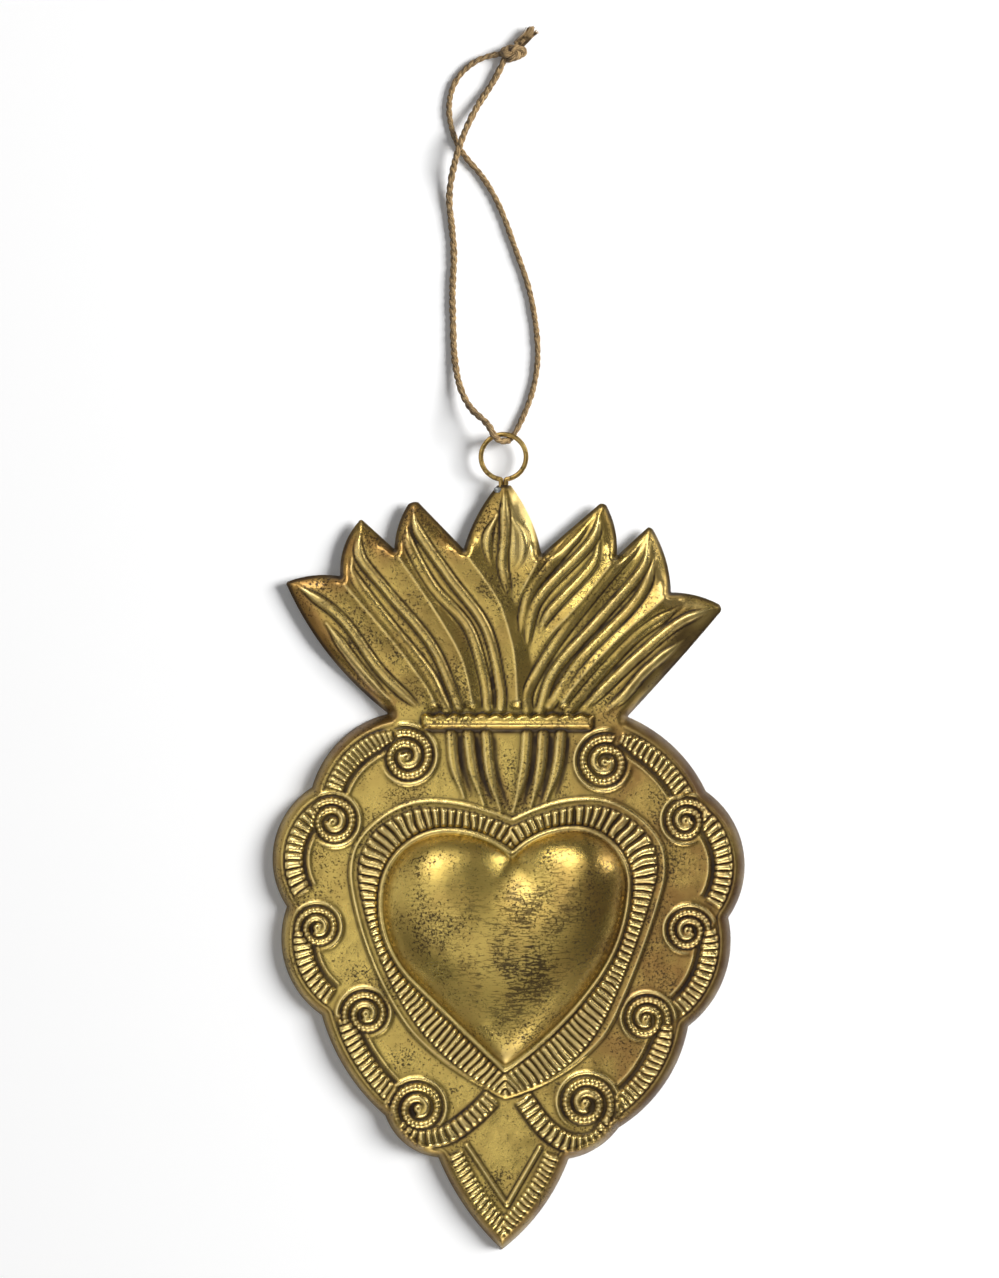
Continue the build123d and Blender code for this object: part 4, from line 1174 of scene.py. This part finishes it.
class TINHEART_OT_solder(bpy.types.Operator):
    """Lay the solder that holds the eye, and the small run of it that shows at the front"""

    bl_idname = "tinheart.solder"
    bl_label = "Solder"

    def execute(self, context):
        material = solder_finish()
        low, high = (np.array(c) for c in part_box("solder_joint"))
        spots = {"solder_pad": ((low + high) / 2.0, (high - low) / 2.0),
                 "solder_spot": (place_points(SPOT_PLACE), np.array(SPOT_HALF) * MM)}
        rings, count = SPOT_RINGS, SPOT_SIDES
        t = np.linspace(-1.0, 1.0, rings)
        angle = 2.0 * math.pi * np.arange(count) / count
        ripple = 1.0 + 0.05 * np.sin(3.0 * angle + 0.7) + 0.04 * np.sin(5.0 * angle)
        r = np.clip(1.0 - np.abs(t) ** 2.6, 0.0004, 1.0) ** 0.45
        quads = ring_faces(rings, count)[:, FACING_OUT]
        for name, (centre, half) in spots.items():
            x = centre[0] + half[0] * 0.95 * r[:, None] * (np.cos(angle) * ripple)[None]
            y = centre[1] + half[1] * 0.95 * r[:, None] * (np.sin(angle) * ripple)[None]
            z = centre[2] + half[2] * np.broadcast_to(t[:, None], x.shape)
            vertices = np.stack((x, y, z), axis=-1).reshape(-1, 3)
            piece = mesh_object(name, vertices, quads, material)
            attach(piece, "ornament")
            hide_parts("solder_joint")
        return {"FINISHED"}


class TINHEART_OT_twine(bpy.types.Operator):
    """Twist the two strands of the hanging loop, its knot, tails and loose hairs"""

    bl_idname = "tinheart.twine"
    bl_label = "Jute twine"

    def execute(self, context):
        twine = context.scene.twine_settings
        material = jute_finish(twine)
        diameter, lay = twine.diameter * MM, twine.lay * MM
        lines, strands, hairs = {}, {}, {}
        for name, (route, seed, _, fat) in STRANDS.items():
            line, length = even_line(read_spline(name, place_points(route)), STRAND_STEP)
            strands[name] = twine_object(name, two_ply(line, length, diameter * fat, lay, seed), material)
            lines[name] = (line, length[-1])
        for name, (line, _) in lines.items():
            hair = twine_object(name + "_hairs", hair_tubes(line, twine.hairs, STRANDS[name][2]), material)
            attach(hair, "twine")
            hairs[name] = hair
        for name, strand in strands.items():
            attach(strand, "twine")
            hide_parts(name + "_strand")
        knot = self.knot(material, diameter, lay)
        tails = self.tails(material, diameter)
        for name, others in (("twine_left", [knot, tails]), ("twine_right", [])):
            line, length = lines[name]
        return {"FINISHED"}

    def knot(self, material, diameter, lay):
        """Overhand knot pulled tight: a trefoil (1.7 + 0.9 cos 3a) (cos 2a, sin 2a), fitted to its box."""
        low, high = (np.array(c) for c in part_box("twine_knot"))
        centre, half = (low + high) / 2.0, (high - low) / 2.0
        a = np.linspace(0.0, 2.0 * math.pi, 260)[:-1]
        wide = (1.7 + 0.9 * np.cos(3.0 * a)) / 2.6
        line = np.stack((wide * np.cos(2.0 * a), wide * np.sin(2.0 * a), np.sin(3.0 * a)), axis=1)
        turn = math.radians(10.0)
        fat = 1.4 * diameter
        size = np.maximum(half - fat * np.array((0.36, 0.40, 0.45)), 0.4 * fat)
        line = line * size
        cos, sin = math.cos(turn), math.sin(turn)
        line[:, :2] = line[:, :2] @ np.array(((cos, sin), (-sin, cos)))
        line, length = even_line(centre + line, LINE_STEP)
        piece = twine_object("twine_knot_turns", two_ply(line, length, fat, lay, KNOT_SEED, 0.7), material)
        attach(piece, "twine")
        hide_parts("twine_knot")
        return piece

    def tails(self, material, diameter):
        """Two cut ends side by side: fibres that fill an oval, spread a little and differ in length."""
        low, high = (np.array(c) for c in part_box("twine_tails"))
        start, end = low + TAIL_START, high - TAIL_END
        start[2] = end[2] = (low[2] + high[2]) / 2.0
        ahead = (end - start) / np.linalg.norm(end - start)
        beside = np.array((-ahead[1], ahead[0], 0.0))
        rng = np.random.default_rng(TAIL_SEED)
        t = np.linspace(0.0, 1.0, 14)[:, None]
        parts = []
        upward = 0.62 * np.array(UPWARD)
        for bundle in range(TAIL_BUNDLES):
            reach = math.sqrt((bundle + 0.3) / TAIL_BUNDLES)
            middle = between(beside, upward, 2.4 * bundle) * reach * 0.85 * diameter
            size, tone = rng.uniform(0.86, 1.06), rng.uniform(0.0, 60.0, 2)
            for _ in range(BUNDLE_FIBRES):
                angle, reach = rng.uniform(0.0, 2.0 * math.pi), math.sqrt(rng.uniform(0.0, 1.0))
                off = middle + between(beside, upward, angle) * reach * 0.26 * diameter
                wave = beside * np.sin(6.0 * t + tone[0]) * 0.00016
                length = np.linalg.norm(end - start) * size * rng.uniform(0.94, 1.04)
                fibre = start + ahead * t * length + off * (0.8 + 0.35 * t * t) + wave
                vertices, quads, uv = tube(fibre, FIBRE_RADIUS * (1.0 - 0.3 * t[:, 0]), 5, SLANT)
                parts.append((vertices, quads, uv * (1.0, 0.02) + tone))
        piece = twine_object("twine_tail_ends", joined(parts), material)
        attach(piece, "twine")
        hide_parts("twine_tails")
        return piece


class TINHEART_OT_stage(bpy.types.Operator):
    """Set the floor, the lights and the camera above the ornament"""

    bl_idname = "tinheart.stage"
    bl_label = "Stage"

    def execute(self, context):
        scene = context.scene
        stage = scene.stage_settings
        scene.view_settings.view_transform = "Standard"
        floor = self.floor(stage)
        world = bpy.data.worlds.new("studio")
        scene.world = world
        world.use_nodes = True
        background = world.node_tree.nodes["Background"].inputs
        background["Color"].default_value = WHITE
        background["Strength"].default_value = stage.sky
        for name, (place, size, setting, unseen_by) in LAMPS.items():
            setattr(self.lamp(scene, name, place, size, getattr(stage, setting)), unseen_by, False)
        self.camera(scene, stage)
        return {"FINISHED"}

    def floor(self, stage):
        """White floor that glows a little where it is seen or mirrored."""
        f = Finish("floor_finish")
        place = f.place()
        blotch = f.spread(f.noise(place, 30.0), 0.3, 0.7, 0.0, 0.03)
        tone = f.mix(blotch, tuple(stage.floor), FLOOR_SHADE)
        rays = f.node("ShaderNodeLightPath").outputs
        mirrored = f.math("MAXIMUM", rays["Is Glossy Ray"], rays["Is Transmission Ray"])
        seen = f.math("MAXIMUM", rays["Is Camera Ray"], mirrored)
        glow = f.math("MULTIPLY", seen, FLOOR_GLOW)
        material = f.surface(Base_Color=tone, Roughness=0.9, Emission_Color=WHITE, Emission_Strength=glow)
        corners = [(x * FLOOR_HALF, y * FLOOR_HALF, -FLOOR_DROP) for x, y in FLOOR_CORNERS]
        return mesh_object("floor", np.array(corners), np.array(((0, 1, 2, 3),)), material)

    def camera(self, scene, stage):
        """Camera straight above the middle of the picture."""
        camera_data = bpy.data.cameras.new("camera")
        camera_data.lens = stage.lens
        camera_data.sensor_width = SENSOR_WIDTH
        camera_data.clip_end = CLIP_END
        camera = bpy.data.objects.new("camera", camera_data)
        aim = np.array(stage.aim)
        aim[2] += stage.view_height * stage.lens / SENSOR_WIDTH
        camera.location = aim
        scene.collection.objects.link(camera)
        scene.camera = camera

    def lamp(self, scene, name, place, size, power):
        """Rectangular soft light at a place, turned to the ornament's middle."""
        data = bpy.data.lights.new(name, "AREA")
        data.shape = "RECTANGLE"
        data.size, data.size_y = size
        data.energy = power
        lamp = bpy.data.objects.new(name, data)
        lamp.location = place
        aim = -np.array(place)
        flat = math.hypot(aim[0], aim[1])
        lamp.rotation_euler = (math.atan2(flat, -aim[2]), 0.0, math.atan2(aim[1], aim[0]) - math.pi / 2.0)
        scene.collection.objects.link(lamp)
        return lamp


class TINHEART_PT_panel(bpy.types.Panel):
    """Sidebar panel that lists the pieces and their sizes"""

    bl_label = "Tin heart"
    bl_idname = "TINHEART_PT_panel"
    bl_space_type = "VIEW_3D"
    bl_region_type = "UI"
    bl_category = "Tin heart"

    def draw(self, context):
        for operator in OPERATORS:
            self.layout.operator(operator.bl_idname)
        for group in SETTINGS:
            for key in group.__annotations__:
                self.layout.prop(getattr(context.scene, SETTINGS[group]), key)


SETTINGS = {TinSettings: "tin_settings", TwineSettings: "twine_settings", StageSettings: "stage_settings"}
OPERATORS = (TINHEART_OT_twine, TINHEART_OT_sheet, TINHEART_OT_eye, TINHEART_OT_solder, TINHEART_OT_stage)


def register():
    for group in SETTINGS:
        bpy.utils.register_class(group)
        setattr(bpy.types.Scene, SETTINGS[group], PointerProperty(type=group))
    for item in OPERATORS + (TINHEART_PT_panel,):
        bpy.utils.register_class(item)


def unregister():
    for item in (TINHEART_PT_panel,) + OPERATORS[::-1]:
        bpy.utils.unregister_class(item)
    for group in SETTINGS:
        delattr(bpy.types.Scene, SETTINGS[group])
        bpy.utils.unregister_class(group)


def main():
    register()
    bpy.ops.tinheart.twine()
    bpy.ops.tinheart.sheet()
    bpy.ops.tinheart.eye()
    bpy.ops.tinheart.solder()
    bpy.ops.tinheart.stage()


if __name__ == "__main__":
    main()
